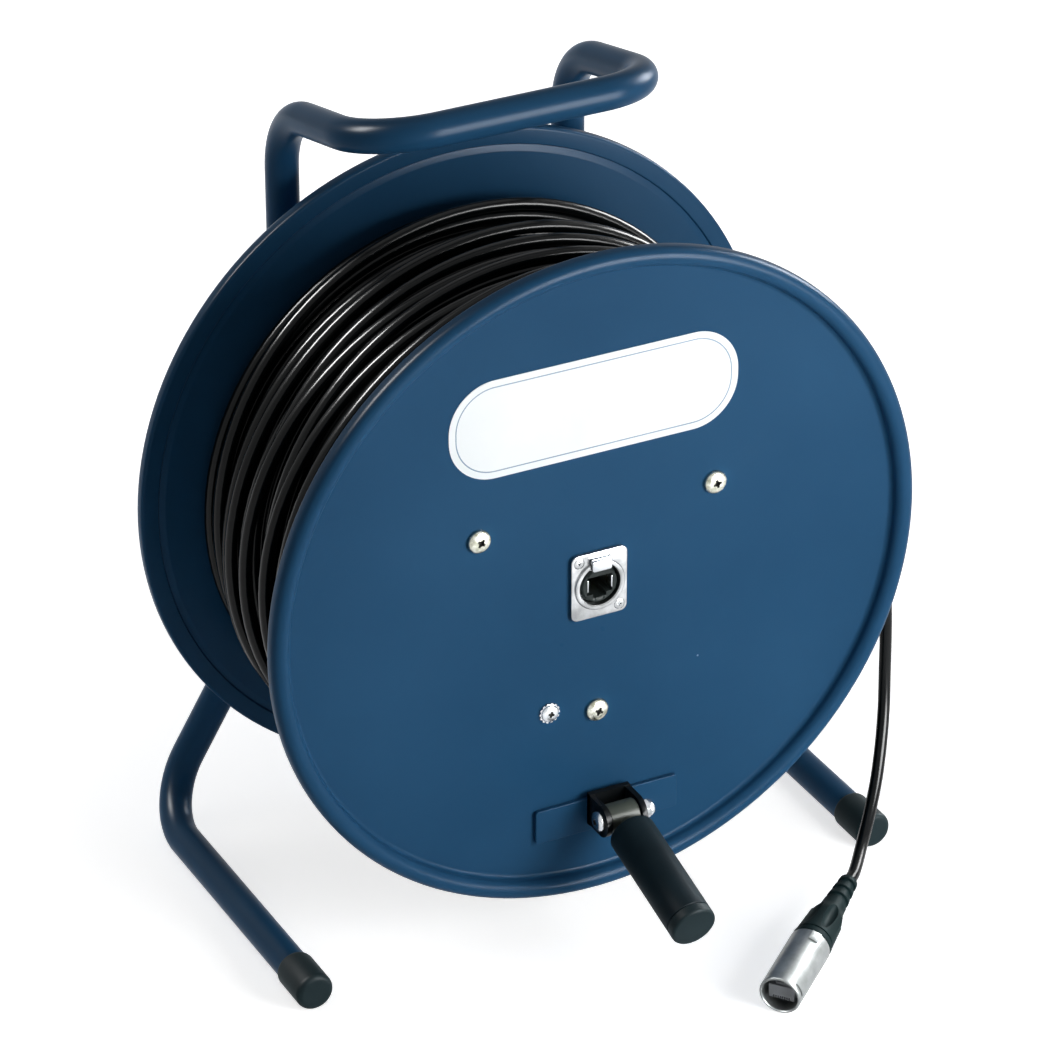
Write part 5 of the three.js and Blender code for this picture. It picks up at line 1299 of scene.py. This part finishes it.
def add_floor(near, far):
    """A pale floor whose own glow rises from near the drum to far from it, where it is seen directly."""
    deselect()
    bpy.ops.mesh.primitive_plane_add(size=8, location=(0, 0, FLOOR))
    floor = started("Floor")
    material = bpy.data.materials.new("Pale floor")
    material.use_nodes = True
    tree = material.node_tree
    place = add_node(tree, "TexCoord")
    away = add_node(tree, "VectorMath", {0: place.outputs["Object"]}, operation="LENGTH")
    lift = add_node(tree, "MapRange", {
        "Value": away.outputs["Value"], "From Min": 0.12, "From Max": 0.46, "To Min": near, "To Max": far,
    }, interpolation_type="SMOOTHSTEP")
    seen = add_node(tree, "Group", node_tree=SEEN)
    glow = add_node(
        tree, "Math", {0: seen.outputs["Seen"], 1: lift.outputs["Result"]}, operation="MULTIPLY",
    )
    set_inputs(tree.nodes["Principled BSDF"], {
        "Base Color": linear(250, 250, 251), "Roughness": 0.9, "Specular IOR Level": 0.1,
        "Emission Color": (1, 1, 1, 1), "Emission Strength": glow.outputs[0],
    })
    floor.data.materials.append(material)


def add_lamp(name, way, distance, size, power, roll=0.0, reaches="all"):
    """A soft box that shines on the drum's middle from a direction, turned by roll about its own axis.

    It reaches all surfaces, or only the gloss of them, as a reflecting card does, or only their matt part.
    """
    data = bpy.data.lights.new(name, "AREA")
    data.shape = "RECTANGLE"
    data.size, data.size_y = size
    data.energy = power
    lamp = bpy.data.objects.new(name, data)
    way = Vector(way).normalized()
    facing = (-way).to_track_quat("-Z", "Y").to_matrix().to_4x4()
    lamp.matrix_world = Matrix.Translation(DRUM + distance * way) @ facing @ rotation(roll, "Z")
    lamp.visible_diffuse = reaches != "gloss"
    lamp.visible_glossy = reaches != "matt"
    bpy.context.collection.objects.link(lamp)


def add_world(dim):
    """White where it is seen directly, and dim as a light."""
    world = bpy.data.worlds.new("Studio")
    bpy.context.scene.world = world
    world.use_nodes = True
    tree = world.node_tree
    seen = add_node(tree, "Group", node_tree=SEEN)
    strength = add_node(tree, "MapRange", {"Value": seen.outputs["Seen"], "To Min": dim, "To Max": 1.0})
    set_inputs(tree.nodes["Background"], {"Color": (1, 1, 1, 1), "Strength": strength.outputs["Result"]})


SEEN = seen_group()
KEY_WAY = (0.44, -0.88, 0.2)
KEY_SIZE = (0.45, 0.5)
add_floor(near=0.66, far=0.92)
add_world(dim=0.12)
add_lamp("Key", KEY_WAY, distance=0.85, size=KEY_SIZE, power=5.9)
add_lamp("Key card", KEY_WAY, distance=0.84, size=KEY_SIZE, power=28, reaches="gloss")
add_lamp("Overhead", (0.1, 0.1, 1), distance=1.9, size=(1.6, 1.6), power=3.4)
add_lamp("Left card", (-0.6, 0.3, 0.74), distance=1.6, size=(0.55, 0.4), power=115, roll=111, reaches="gloss")
add_lamp("Right card", (0.92, 0.12, 0.355), distance=1.3, size=(0.5, 0.5), power=36, reaches="gloss")
add_lamp("Back fill", (-0.4, 0.9, 0.12), distance=1.6, size=(1.2, 0.8), power=11, reaches="matt")

bpy.context.scene.view_settings.view_transform = "Standard"


# Finishes of the CAD nodes, from each one's material slot

CAD_FINISH = {
    "blue_paint": BLUE_PAINT,
    "dark_paint": DARK_PAINT,
    "zinc": BRIGHT_ZINC,
    "yellow_zinc": YELLOW_ZINC,
    "steel": STEEL,
    "bronze": BRONZE,
    "black_plastic": BLACK_PLASTIC,
    "black_rubber": BLACK_RUBBER,
    "jacket": CABLE_JACKET,
}
for part in frame["record"]["subparts"]:
    node = frame["nodes"][part["node"]]
    for slot in node.material_slots:
        slot.material = CAD_FINISH[part["material_slot"]]
